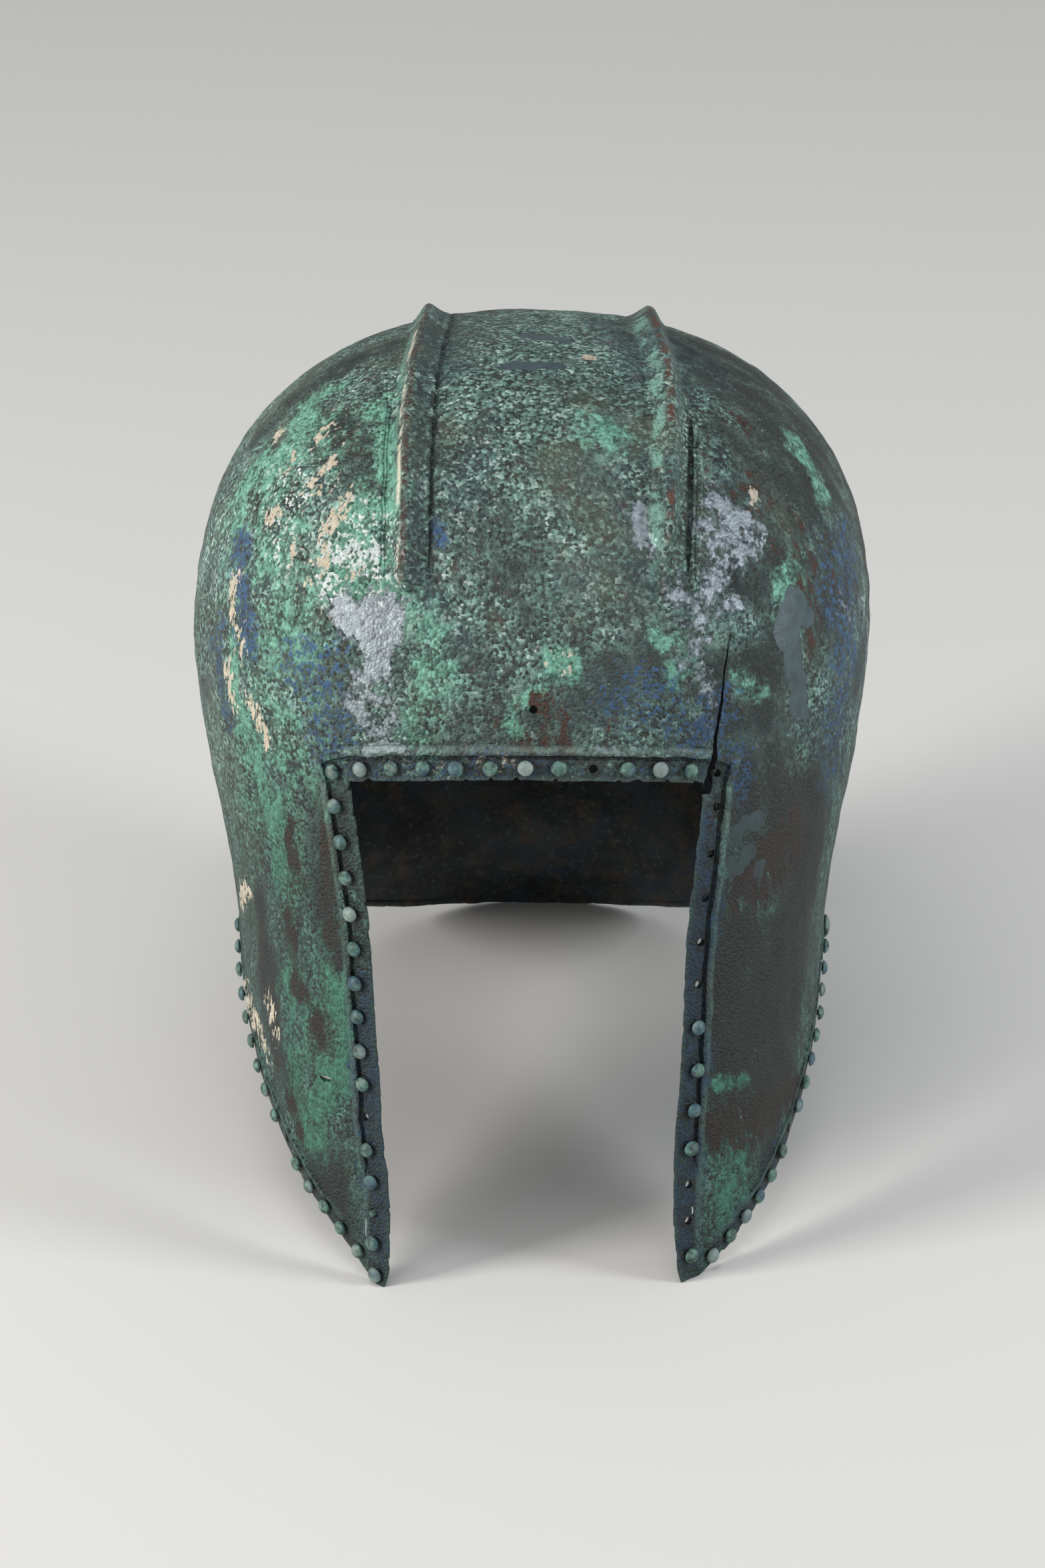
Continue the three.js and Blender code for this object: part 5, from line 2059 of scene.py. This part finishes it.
PATCHES = {
    # Green clouds down the left of the dome, the left side and the left cheekpiece, few on the right
    Mineral.MALACHITE: (
        Patch(((1080, 1190), (1075, 1300)), 5.0, 0.36),
        Patch(((410, 690), (375, 950), (410, 1200)), 27.0, 0.42),
        Patch(((440, 1300), (480, 1660)), 15.0, 0.42),
        Patch(((470, 604), (440, 650), (408, 720)), 9.0, 0.86),
        Patch(((385, 700), (352, 775)), 7.0, 0.72),
        Patch(((583, 742), (522, 785), (500, 845), (568, 884)), 12.0, 0.78),
        Patch(((430, 830), (442, 960)), 13.0, 0.62),
        Patch(((345, 990), (370, 1090), (400, 1215)), 8.5, 0.85),
        Patch(((415, 1195), (425, 1330)), 6.0, 0.66),
        Patch(((577, 600), (588, 730)), 5.0, 0.68),
        Patch(((515, 1500), (512, 1600), (490, 1670)), 7.0, 0.95),
        Patch(((440, 1590), (468, 1710)), 9.0, 0.6),
        Patch(((610, 920), (652, 1000), (625, 1090)), 10.0, 0.56),
        Patch(((875, 640), (926, 664)), 7.0, 0.66),
        Patch(((822, 985), (852, 992)), 5.5, 0.8),
        Patch(((770, 1095), (772, 1065), (800, 1050)), 3.5, 0.66),
        Patch(((1000, 958), (1022, 1005)), 6.0, 0.58),
        Patch(((1205, 680), (1240, 740)), 6.0, 0.66),
        Patch(((1170, 880), (1205, 862)), 7.0, 0.55),
        Patch(((1100, 1010), (1130, 1035)), 6.0, 0.5),
        Patch(((1065, 1760), (1120, 1710), (1080, 1830)), 10.0, 0.6),
        Patch(((1085, 1628), (1122, 1620)), 4.0, 0.8),
        Patch(((-112, 215), (-124, 185), (-116, 150)), 16.0, 0.66, around=True),
        Patch(((-150, 240), (-165, 205), (-158, 170)), 20.0, 0.55, around=True),
        Patch(((150, 225), (132, 195), (141, 160)), 15.0, 0.56, around=True),
        Patch(((178, 125), (166, 90)), 13.0, 0.55, around=True),
    ),
    # Blue specks among the green, thicker by the crack and along the edges
    Mineral.AZURITE: (
        Patch(((362, 820), (352, 880), (372, 958)), 6.0, 0.72),
        Patch(((470, 1010), (505, 1085)), 13.0, 0.42),
        Patch(((325, 950), (340, 1060)), 7.0, 0.46),
        Patch(((655, 785), (662, 812)), 3.0, 0.62),
        Patch(((1060, 1128), (1085, 1095), (1092, 1040)), 7.0, 0.6),
        Patch(((1112, 1120), (1110, 1190)), 5.0, 0.55),
        Patch(((1262, 850), (1278, 960), (1265, 1120)), 15.0, 0.42),
        Patch(((975, 1045), (1060, 1090)), 11.0, 0.36),
        Patch(((550, 1480), (556, 1640), (562, 1790), (575, 1900)), 6.0, 0.8),
        Patch(((1055, 1240), (1045, 1450), (1032, 1650), (1022, 1880)), 6.5, 0.8),
        Patch(((520, 1152), (700, 1152), (1060, 1158)), 5.0, 0.46),
        Patch(((1215, 1600), (1160, 1760), (1075, 1890)), 6.0, 0.5),
        Patch(((100, 210), (110, 175), (104, 140)), 16.0, 0.42, around=True),
        Patch(((-140, 120), (-170, 95)), 12.0, 0.42, around=True),
    ),
    # Cream chips down the left side and at the rear of the left cheekpiece
    Mineral.DEPOSIT: (
        Patch(((491, 638), (480, 652)), 3.0, 0.68),
        Patch(((420, 643), (407, 658)), 2.8, 0.62),
        Patch(((491, 692), (486, 704)), 2.8, 0.68),
        Patch(((438, 682), (433, 698)), 2.4, 0.68),
        Patch(((465, 724), (474, 736)), 2.6, 0.62),
        Patch(((414, 765), (402, 782)), 2.6, 0.68),
        Patch(((530, 742), (512, 762), (497, 775)), 3.2, 0.6),
        Patch(((484, 786), (492, 800), (480, 810)), 3.8, 0.62),
        Patch(((483, 826), (480, 842)), 3.0, 0.68),
        Patch(((441, 815), (444, 832)), 2.4, 0.68),
        Patch(((534, 848), (526, 858)), 3.4, 0.6),
        Patch(((500, 630), (455, 760), (490, 850)), 15.0, 0.2),
        Patch(((352, 868), (347, 905)), 2.8, 0.7),
        Patch(((348, 925), (358, 955), (362, 985)), 2.8, 0.62),
        Patch(((340, 995), (347, 1040), (352, 1062)), 3.2, 0.6),
        Patch(((376, 1058), (388, 1085), (398, 1110)), 3.6, 0.66),
        Patch(((345, 900), (360, 1050)), 9.0, 0.18),
        Patch(((368, 1325), (360, 1362)), 4.0, 0.66),
        Patch(((366, 1488), (382, 1530), (402, 1588)), 6.5, 0.56),
        Patch(((400, 1505), (410, 1560)), 4.0, 0.5),
        Patch(((1129, 736), (1131, 750)), 1.5, 1.0),
        Patch(((880, 531), (890, 532)), 1.6, 1.0),
        Patch(((830, 980), (848, 998)), 4.5, 0.34),
        Patch(((640, 1158), (760, 1150)), 4.0, 0.34),
        Patch(((-100, 190), (-108, 155), (-104, 120)), 12.0, 0.3, around=True),
        Patch(((-165, 130), (-172, 100)), 11.0, 0.3, around=True),
    ),
    # Smooth tin-grey metal left where the crust has flaked away
    Mineral.TIN: (
        Patch(((520, 930), (582, 920), (560, 980)), 7.5, 0.95),
        Patch(((545, 1020), (545, 1065), (572, 1105)), 7.5, 0.56),
        Patch(((484, 858), (490, 900)), 5.0, 0.5),
        Patch(((956, 760), (966, 815)), 4.5, 0.6),
        Patch(((1068, 772), (1106, 800), (1078, 850)), 8.0, 0.6),
        Patch(((1010, 884), (1060, 900), (1100, 905)), 5.5, 0.56),
        Patch(((1050, 960), (1046, 1060)), 9.0, 0.46),
        Patch(((549, 1126), (612, 1130)), 2.4, 0.85),
        Patch(((900, 1122), (1040, 1130)), 2.4, 0.5),
        Patch(((60, 200), (75, 180)), 10.0, 0.4, around=True),
    ),
    # White bloom in specks on the left of the dome
    Mineral.FROST: (
        Patch(((520, 826), (552, 842)), 5.5, 0.6),
        Patch(((484, 862), (492, 888), (488, 905)), 4.5, 0.5),
        Patch(((500, 780), (560, 790), (575, 860)), 11.0, 0.26),
        Patch(((735, 660), (700, 760), (690, 850)), 11.0, 0.1),
        Patch(((430, 700), (400, 800)), 12.0, 0.24),
        Patch(((140, 215), (126, 190)), 10.0, 0.3, around=True),
    ),
    # Smooth slate skin in lobes with a crisp edge
    Mineral.SLATE: (
        Patch(((1200, 905), (1188, 945), (1196, 1000), (1200, 1062)), 5.0, 1.0),
        Patch(((770, 543), (838, 549)), 3.0, 0.9),
        Patch(((790, 500), (848, 508)), 2.8, 0.8),
        Patch(((1105, 1260), (1118, 1235), (1142, 1228)), 3.2, 1.0),
        Patch(((1095, 1295), (1110, 1305), (1125, 1280)), 3.0, 1.0),
        Patch(((1138, 1308), (1148, 1300)), 2.4, 1.0),
        Patch(((-80, 150), (-86, 128)), 6.0, 0.8, around=True),
        Patch(((155, 190), (163, 175)), 7.0, 0.8, around=True),
    ),
    # Red-brown cuprite
    Mineral.CUPRITE: (
        Patch(((1130, 1332), (1168, 1290), (1192, 1252)), 10.0, 0.78),
        Patch(((1100, 1362), (1140, 1350)), 8.0, 0.5),
        Patch(((1072, 1698), (1140, 1682), (1200, 1640)), 8.0, 0.76),
        Patch(((428, 1240), (440, 1300)), 4.0, 0.58),
        Patch(((432, 1392), (446, 1485)), 4.0, 0.8),
        Patch(((462, 1487), (482, 1557)), 3.6, 0.7),
        Patch(((438, 1655), (452, 1702)), 4.2, 0.78),
        Patch(((490, 1250), (500, 1400)), 5.0, 0.5),
        Patch(((1100, 622), (1113, 637)), 2.4, 0.8),
        Patch(((802, 1040), (838, 1060)), 6.0, 0.42),
        Patch(((760, 1120), (880, 1100)), 9.0, 0.34),
        Patch(((40, 232), (52, 215), (48, 196)), 12.0, 0.36, around=True),
        Patch(((120, 190), (132, 160), (124, 120)), 14.0, 0.5, around=True),
        Patch(((-130, 180), (-142, 155), (-136, 130)), 12.0, 0.46, around=True),
    ),
    # Dark crust over most of the right flank and the right cheekpiece, partly painted shade: the broad patches
    # darken the right side as if turned from the light
    Mineral.SOOT: (
        Patch(((470, 640), (560, 670), (535, 710)), 12.0, 0.62),
        Patch(((560, 520), (480, 560), (400, 640)), 12.0, 0.48),
        Patch(((1090, 540), (1190, 680), (1225, 820)), 30.0, 0.62),
        Patch(((1105, 858), (1190, 846)), 9.0, 0.72),
        Patch(((1120, 960), (1150, 1080)), 18.0, 0.64),
        Patch(((1150, 1150), (1185, 1300), (1150, 1560)), 24.0, 0.84),
        Patch(((1090, 1420), (1110, 1600)), 12.0, 0.84),
        Patch(((1200, 1400), (1160, 1720)), 12.0, 0.55),
        Patch(((505, 1440), (516, 1530)), 3.2, 0.95),
        Patch(((480, 1200), (490, 1420)), 8.0, 0.6),
        Patch(((385, 1380), (400, 1500), (430, 1620)), 10.0, 0.7),
        Patch(((480, 1730), (525, 1850)), 11.0, 0.66),
        Patch(((740, 1090), (880, 1040), (975, 985)), 16.0, 0.44),
        Patch(((800, 900), (720, 800)), 14.0, 0.36),
        Patch(((1268, 680), (1296, 1000)), 14.0, 0.6),
        Patch(((85, 235), (95, 170), (90, 120)), 26.0, 0.56, around=True),
        Patch(((140, 150), (165, 110)), 22.0, 0.52, around=True),
        Patch(((-160, 210), (175, 200)), 24.0, 0.46, around=True),
        Patch(((-80, 120), (-95, 80)), 14.0, 0.5, around=True),
    ),
}


@dataclass(frozen=True)
class Cloud:
    """Clouds of another colour: size in millimetres, noise at which they start and are full, and share."""

    size: float
    start: float
    full: float
    share: float
    colour: str
    detail: float = 5.0


def add_clouds(
    tree: Tree, place: Socket, colour: Socket | str, clouds: tuple[Cloud, ...]
) -> Socket:
    """Lays clouds of other colours over a colour.

    Args:
        tree: the material's tree.
        place: coordinates in millimetres.
        colour: colour so far.
        clouds: the clouds in order.

    Returns:
        The colour with them.
    """
    for number, cloud in enumerate(clouds):
        apart = add_node(
            tree, "ShaderNodeVectorMath", {0: place, 1: (37.0 * number, 11.0 * number, 5.0)}
        ).outputs[0]
        noise = add_node(
            tree,
            "ShaderNodeTexNoise",
            {"Vector": apart, "Scale": 1 / cloud.size, "Detail": cloud.detail, "Roughness": 0.62},
        ).outputs[0]
        share = add_node(
            tree, "ShaderNodeMapRange", {0: noise, 1: cloud.start, 2: cloud.full, 3: 0.0, 4: cloud.share}
        ).outputs[0]
        colour = add_node(
            tree, "ShaderNodeMix", {0: share, 6: colour, 7: cloud.colour}, data_type="RGBA"
        ).outputs[2]
    return colour


def millimetres(tree: Tree, stretch: float = 1.0, level: float = 125.0) -> Socket:
    """Object coordinates in millimetres, with patterns drawn out upright about a level by a stretch."""
    place = add_node(tree, "ShaderNodeTexCoord").outputs["Object"]
    rise = (0.0, 0.0, level * (1 - 1 / stretch))
    return add_node(
        tree, "ShaderNodeMapping", {0: place, 1: rise, 3: (1000.0, 1000.0, 1000.0 / stretch)}
    ).outputs[0]


@dataclass(frozen=True)
class Layer:
    """How one mineral lies over the crust.

    The edge of a patch wanders by ragged, in features of size millimetres, takes or leaves whole grains by
    grainy, and blends over soft. Dark and light are the ends of its own mottling. Grain is how much of the
    crust's relief shows through it and relief is its own height. A tall pattern is drawn out upright.
    """

    mineral: Mineral
    dark: str
    light: str
    size: float
    ragged: float
    grainy: float
    soft: float
    roughness: float
    metallic: float
    relief: float
    grain: float
    tall: bool = False


@dataclass(frozen=True)
class PatinatedBronze:
    """Tin bronze raised by hammer, buried and crusted.

    Grains about a millimetre across stand on a dark skin and give a sparkle of mint on grey-green, with
    olive, blue-grey and brown clouds. Where the crust has flaked off, smooth tin-grey metal shows with a
    soft gloss.
    """

    name: str = "buried tin bronze with malachite crust"
    grain_ramp: tuple[tuple[float, str], ...] = (
        (0.0, "#0b1211"),
        (0.25, "#23322f"),
        (0.5, "#486059"),
        (0.74, "#749a8f"),
        (0.96, "#c4ddd2"),
    )
    # Real grains go down to a quarter of a millimetre; these are coarser so that they don't shimmer
    grain_size: float = 0.95
    # Painted shade: the crust is multiplied darker towards the bottom, as if the light from above falls off
    # over the cheekpieces; the multiplier's tint also makes it bluer there
    lower_painted_shade: str = "#86a4a0"
    clouds: tuple[Cloud, ...] = (
        Cloud(34.0, 0.5, 0.66, 0.55, "#565b47"),
        Cloud(28.0, 0.5, 0.68, 0.5, "#3a525b"),
        Cloud(20.0, 0.52, 0.66, 0.6, "#263330"),
        Cloud(5.0, 0.58, 0.68, 0.6, "#4b3c36"),
        Cloud(9.0, 0.6, 0.72, 0.55, "#7ea99a"),
        Cloud(2.6, 0.64, 0.72, 0.7, "#a9c2b6"),
    )
    layers: tuple[Layer, ...] = (
        # The dark crust layer, partly painted shade on the right side
        Layer(Mineral.SOOT, "#080d0d", "#22302d", 7.0, 0.8, 0.6, 0.24, 0.55, 0.0, 0.0, 0.8, tall=True),
        Layer(Mineral.MALACHITE, "#1f5041", "#86c2ac", 7.0, 1.05, 0.24, 0.34, 0.72, 0.0, 0.1, 0.7),
        Layer(Mineral.CUPRITE, "#1a100d", "#4a2d1c", 3.6, 1.4, 0.4, 0.12, 0.6, 0.0, -0.08, 0.8, tall=True),
        Layer(Mineral.AZURITE, "#13243a", "#3b6189", 3.0, 1.1, 0.7, 0.18, 0.66, 0.0, 0.05, 0.8),
        Layer(Mineral.TIN, "#48525a", "#a3aeb5", 5.0, 0.8, 0.16, 0.12, 0.42, 0.25, -0.25, 0.3),
        Layer(Mineral.SLATE, "#2b3a3f", "#465a5f", 7.0, 0.4, 0.04, 0.03, 0.42, 0.05, 0.12, 0.08),
        Layer(Mineral.FROST, "#8b9c98", "#dde3e4", 2.2, 1.4, 0.6, 0.1, 0.5, 0.0, 0.08, 0.6),
        Layer(Mineral.DEPOSIT, "#968a75", "#d2c9b8", 1.8, 1.35, 0.2, 0.05, 0.82, 0.0, 0.22, 0.4, tall=True),
    )

    def material(self) -> bpy.types.Material:
        """Builds the material."""
        made = bpy.data.materials.new(self.name)
        made.use_nodes = True
        tree = made.node_tree
        shader = tree.nodes["Principled BSDF"]
        place, upright = millimetres(tree), millimetres(tree, 3.0)
        cheek = add_node(tree, "ShaderNodeAttribute", attribute_name="cheek").outputs["Fac"]
        flow = add_node(
            tree, "ShaderNodeMix", {0: cheek, 4: place, 5: upright}, data_type="VECTOR"
        ).outputs[1]
        colour, fine, pick = self.crust(tree, place, flow)
        look: dict[str, object] = {"roughness": 0.54, "metallic": 0.0, "grain": 1.0, "relief": 0.0}
        for layer in self.layers:
            mask, tone = self.cover(tree, upright if layer.tall else flow, pick, layer)
            colour = add_node(
                tree, "ShaderNodeMix", {0: mask, 6: colour, 7: tone}, data_type="RGBA"
            ).outputs[2]
            for name, value in look.items():
                look[name] = add_node(
                    tree, "ShaderNodeMix", {0: mask, 2: value, 3: getattr(layer, name)}
                ).outputs[0]
        colour = self.edges(tree, place, colour)
        # Painted shade: the colour is multiplied darker towards the bottom
        lower = add_node(tree, "ShaderNodeAttribute", attribute_name="lower").outputs["Fac"]
        # The cream stains, laid last, keep their own colour
        clear = add_node(tree, "ShaderNodeMath", {0: 1.0, 1: mask}, operation="SUBTRACT").outputs[0]
        share = add_node(tree, "ShaderNodeMath", {0: lower, 1: clear}, operation="MULTIPLY").outputs[0]
        colour = add_node(
            tree, "ShaderNodeMix", {0: share, 6: colour, 7: self.lower_painted_shade}, data_type="RGBA",
            blend_type="MULTIPLY"
        ).outputs[2]
        height = add_node(
            tree, "ShaderNodeMath", {0: fine, 1: look["grain"], 2: look["relief"]}, operation="MULTIPLY_ADD"
        ).outputs[0]
        bump = add_node(tree, "ShaderNodeBump", {"Strength": 1.0, "Distance": 0.0009, "Height": height})
        tree.links.new(colour, shader.inputs["Base Color"])
        tree.links.new(look["roughness"], shader.inputs["Roughness"])
        tree.links.new(look["metallic"], shader.inputs["Metallic"])
        tree.links.new(bump.outputs[0], shader.inputs["Normal"])
        return made

    def crust(
        self, tree: Tree, place: Socket, flow: Socket
    ) -> tuple[Socket, Socket, Socket]:
        """Colour and height of the plain crust.

        Args:
            tree: the material's tree.
            place: coordinates in millimetres.
            flow: the same, drawn out upright over the cheekpieces.

        Returns:
            The colour, the height of the grains, and a random value for each grain.
        """
        cells = add_node(tree, "ShaderNodeTexVoronoi", {"Vector": place, "Scale": 1 / self.grain_size})
        pick = add_node(tree, "ShaderNodeSeparateColor", {0: cells.outputs["Color"]}).outputs[0]
        value: object = 0.5
        for size, share in ((30.0, 1.0), (8.0, 0.5), (2.4, 0.36)):
            noise = add_node(
                tree, "ShaderNodeTexNoise",
                {"Vector": flow, "Scale": 1 / size, "Detail": 6.0, "Roughness": 0.66}
            ).outputs[0]
            noise = add_node(tree, "ShaderNodeMapRange", {0: noise, 1: 0.3, 2: 0.7}).outputs[0]
            value = add_node(tree, "ShaderNodeMix", {0: share, 2: value, 3: noise}).outputs[0]
        value = add_node(tree, "ShaderNodeMix", {0: 0.46, 2: value, 3: pick}).outputs[0]
        value = add_node(tree, "ShaderNodeMapRange", {0: value, 1: 0.17, 2: 0.83}).outputs[0]
        ramp = add_node(tree, "ShaderNodeValToRGB", {0: value})
        stops = ramp.color_ramp.elements
        while len(stops) < len(self.grain_ramp):
            stops.new(0.5)
        for stop, (position, code) in zip(stops, self.grain_ramp):
            stop.position = position
            stop.color = linear_colour(code)
        colour = add_clouds(tree, flow, ramp.outputs[0], self.clouds)
        gap = add_node(
            tree, "ShaderNodeMapRange", {0: cells.outputs["Distance"], 1: 0.1, 2: 0.75, 3: 1.0, 4: 0.0}
        ).outputs[0]
        height = add_node(tree, "ShaderNodeMix", {0: 0.45, 2: gap, 3: noise}).outputs[0]
        return colour, height, pick

    def cover(
        self, tree: Tree, place: Socket, pick: Socket, layer: Layer
    ) -> tuple[Socket, Socket]:
        """Where a mineral shows, and its own colour.

        Args:
            tree: the material's tree.
            place: coordinates in millimetres.
            pick: random value for each grain.
            layer: how the mineral lies.

        Returns:
            The mask from 0 to 1, and the mottled colour.
        """
        total = add_node(tree, "ShaderNodeAttribute", attribute_name=layer.mineral.value).outputs["Fac"]
        noise = add_node(
            tree, "ShaderNodeTexNoise", {"Vector": place, "Scale": 1 / layer.size, **FINE_NOISE}
        ).outputs[0]
        claimed = add_node(
            tree, "ShaderNodeMapRange", {0: total, 1: 0.02, 2: 0.2, 3: 0.0, 4: 1.0}
        ).outputs[0]
        for value, amount in ((noise, 2.0 * layer.ragged), (pick, layer.grainy)):
            centred = add_node(tree, "ShaderNodeMath", {0: value, 1: 0.5}, operation="SUBTRACT").outputs[0]
            total = add_node(
                tree, "ShaderNodeMath", {0: centred, 1: amount, 2: total}, operation="MULTIPLY_ADD"
            ).outputs[0]
        mask = add_node(
            tree,
            "ShaderNodeMapRange",
            {0: total, 1: 0.5 - layer.soft, 2: 0.5 + layer.soft, 3: 0.0, 4: 1.0},
            interpolation_type="SMOOTHSTEP",
        ).outputs[0]
        mask = add_node(tree, "ShaderNodeMath", {0: mask, 1: claimed}, operation="MULTIPLY").outputs[0]
        mottle = add_node(
            tree, "ShaderNodeTexNoise", {"Vector": place, "Scale": 2 / layer.size, **FINE_NOISE}
        ).outputs[0]
        mottle = add_node(tree, "ShaderNodeMix", {0: 0.4 * layer.grain, 2: mottle, 3: pick}).outputs[0]
        mottle = add_node(tree, "ShaderNodeMapRange", {0: mottle, 1: 0.28, 2: 0.74}).outputs[0]
        tone = add_node(tree, "ShaderNodeMix", {0: mottle, 6: layer.dark, 7: layer.light}, data_type="RGBA")
        return mask, tone.outputs[2]

    def edges(
        self, tree: Tree, place: Socket, colour: Socket
    ) -> Socket:
        """Colours of the rivet bands and the rim, the painted shadows at the rivets' feet and in the groove
        under the bead, the painted highlight along the bead, and the ridges' strips with their painted light
        and shade.

        Args:
            tree: the material's tree.
            place: coordinates in millimetres.
            colour: colour so far.

        Returns:
            The colour with them.
        """
        for tone in EDGE_TONES + RIDGE_TONES:
            share = add_node(tree, "ShaderNodeAttribute", attribute_name=tone.name).outputs["Fac"]
            size, start, full, least = (5.5, 0.46, 0.56, 0.0) if tone.broken else (2.6, 0.38, 0.6, 0.2)
            noise = add_node(
                tree, "ShaderNodeTexNoise", {"Vector": place, "Scale": 1 / size, **FINE_NOISE}
            ).outputs[0]
            patchy = add_node(
                tree, "ShaderNodeMapRange",
                {0: noise, 1: start, 2: full, 3: least * tone.strength, 4: tone.strength}
            ).outputs[0]
            share = add_node(tree, "ShaderNodeMath", {0: share, 1: patchy}, operation="MULTIPLY").outputs[0]
            colour = add_node(
                tree, "ShaderNodeMix", {0: share, 6: colour, 7: tone.colour}, data_type="RGBA"
            ).outputs[2]
        return colour


@dataclass(frozen=True)
class CloudedBronze:
    """Bronze under a thin skin that changes colour in clouds."""

    name: str
    base: str
    clouds: tuple[Cloud, ...]
    roughness: float
    metallic: float
    relief_size: float
    relief: float

    def material(self) -> bpy.types.Material:
        """Builds the material."""
        made = bpy.data.materials.new(self.name)
        made.use_nodes = True
        tree = made.node_tree
        shader = tree.nodes["Principled BSDF"]
        place = millimetres(tree)
        colour = add_clouds(tree, place, self.base, self.clouds)
        rubbed = add_node(tree, "ShaderNodeAttribute", attribute_name="rubbed").outputs["Fac"]
        rubbed = add_node(tree, "ShaderNodeMath", {0: rubbed, 1: 0.45}, operation="MULTIPLY").outputs[0]
        colour = add_node(
            tree, "ShaderNodeMix", {0: rubbed, 6: colour, 7: "#a3adab"}, data_type="RGBA"
        ).outputs[2]
        noise = add_node(
            tree,
            "ShaderNodeTexNoise",
            {"Vector": place, "Scale": 1 / self.relief_size, "Detail": 5.0, "Roughness": 0.68},
        )
        bump = add_node(
            tree, "ShaderNodeBump", {"Strength": 0.9, "Distance": self.relief, "Height": noise.outputs[0]}
        )
        shader.inputs["Roughness"].default_value = self.roughness
        shader.inputs["Metallic"].default_value = self.metallic
        tree.links.new(colour, shader.inputs["Base Color"])
        tree.links.new(bump.outputs[0], shader.inputs["Normal"])
        return made


# Inner face of the bronze, little crusted: dull blue-black with brown and green clouds.
# It reads deep and dry.
SHELTERED_BRONZE = CloudedBronze(
    "sheltered bronze with dark oxide",
    "#0a0e10",
    (
        Cloud(24.0, 0.4, 0.64, 1.0, "#283338", 6.0),
        Cloud(9.0, 0.5, 0.64, 0.8, "#43382c", 6.0),
        Cloud(14.0, 0.54, 0.68, 0.6, "#23354a", 6.0),
        Cloud(1.8, 0.56, 0.7, 0.5, "#56695f"),
    ),
    roughness=0.66,
    metallic=0.0,
    relief_size=1.8,
    relief=0.0005,
)

# Cast rivets under a thin crust: green domes with darker pits, a few blue and a few rubbed to silver grey
RIVET_BRONZE = CloudedBronze(
    "cast bronze rivets with green crust",
    "#1f332e",
    (
        Cloud(1.7, 0.36, 0.66, 1.0, "#678c7f", 4.0),
        Cloud(9.0, 0.54, 0.64, 0.6, "#8d9995", 2.0),
        Cloud(11.0, 0.52, 0.64, 0.6, "#2f4f68", 2.0),
        Cloud(2.4, 0.6, 0.68, 0.7, "#4b3b33", 4.0),
    ),
    roughness=0.5,
    metallic=0.15,
    relief_size=1.3,
    relief=0.0004,
)


def main() -> None:
    """Builds the pieces in order and reports each one."""
    logging.basicConfig(level=logging.INFO, format="%(name)s: %(message)s")
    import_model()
    form = ShellForm()
    low, high = (np.array(corner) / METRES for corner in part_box("helmet_shell"))
    pose = FloorPose.resting(form, low, high)
    view = PhotoView()
    photo_camera(view, pose)
    Studio().build()
    places = RivetPlaces(form)
    weathering = Weathering(form)
    ridges = RidgePair(form)
    patina = PatinaMap(form, view, ridges, places, PATCHES)
    shell = HelmetShell(form, pose, places, weathering, ridges, patina).build(
        PatinatedBronze().material(), SHELTERED_BRONZE.material()
    )
    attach(shell, "root")
    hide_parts("helmet_shell")
    rivets, names = RivetSet(form, pose, places, weathering).build(RIVET_BRONZE.material())
    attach(rivets, "root")
    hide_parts(*names)


if __name__ == "__main__":
    main()
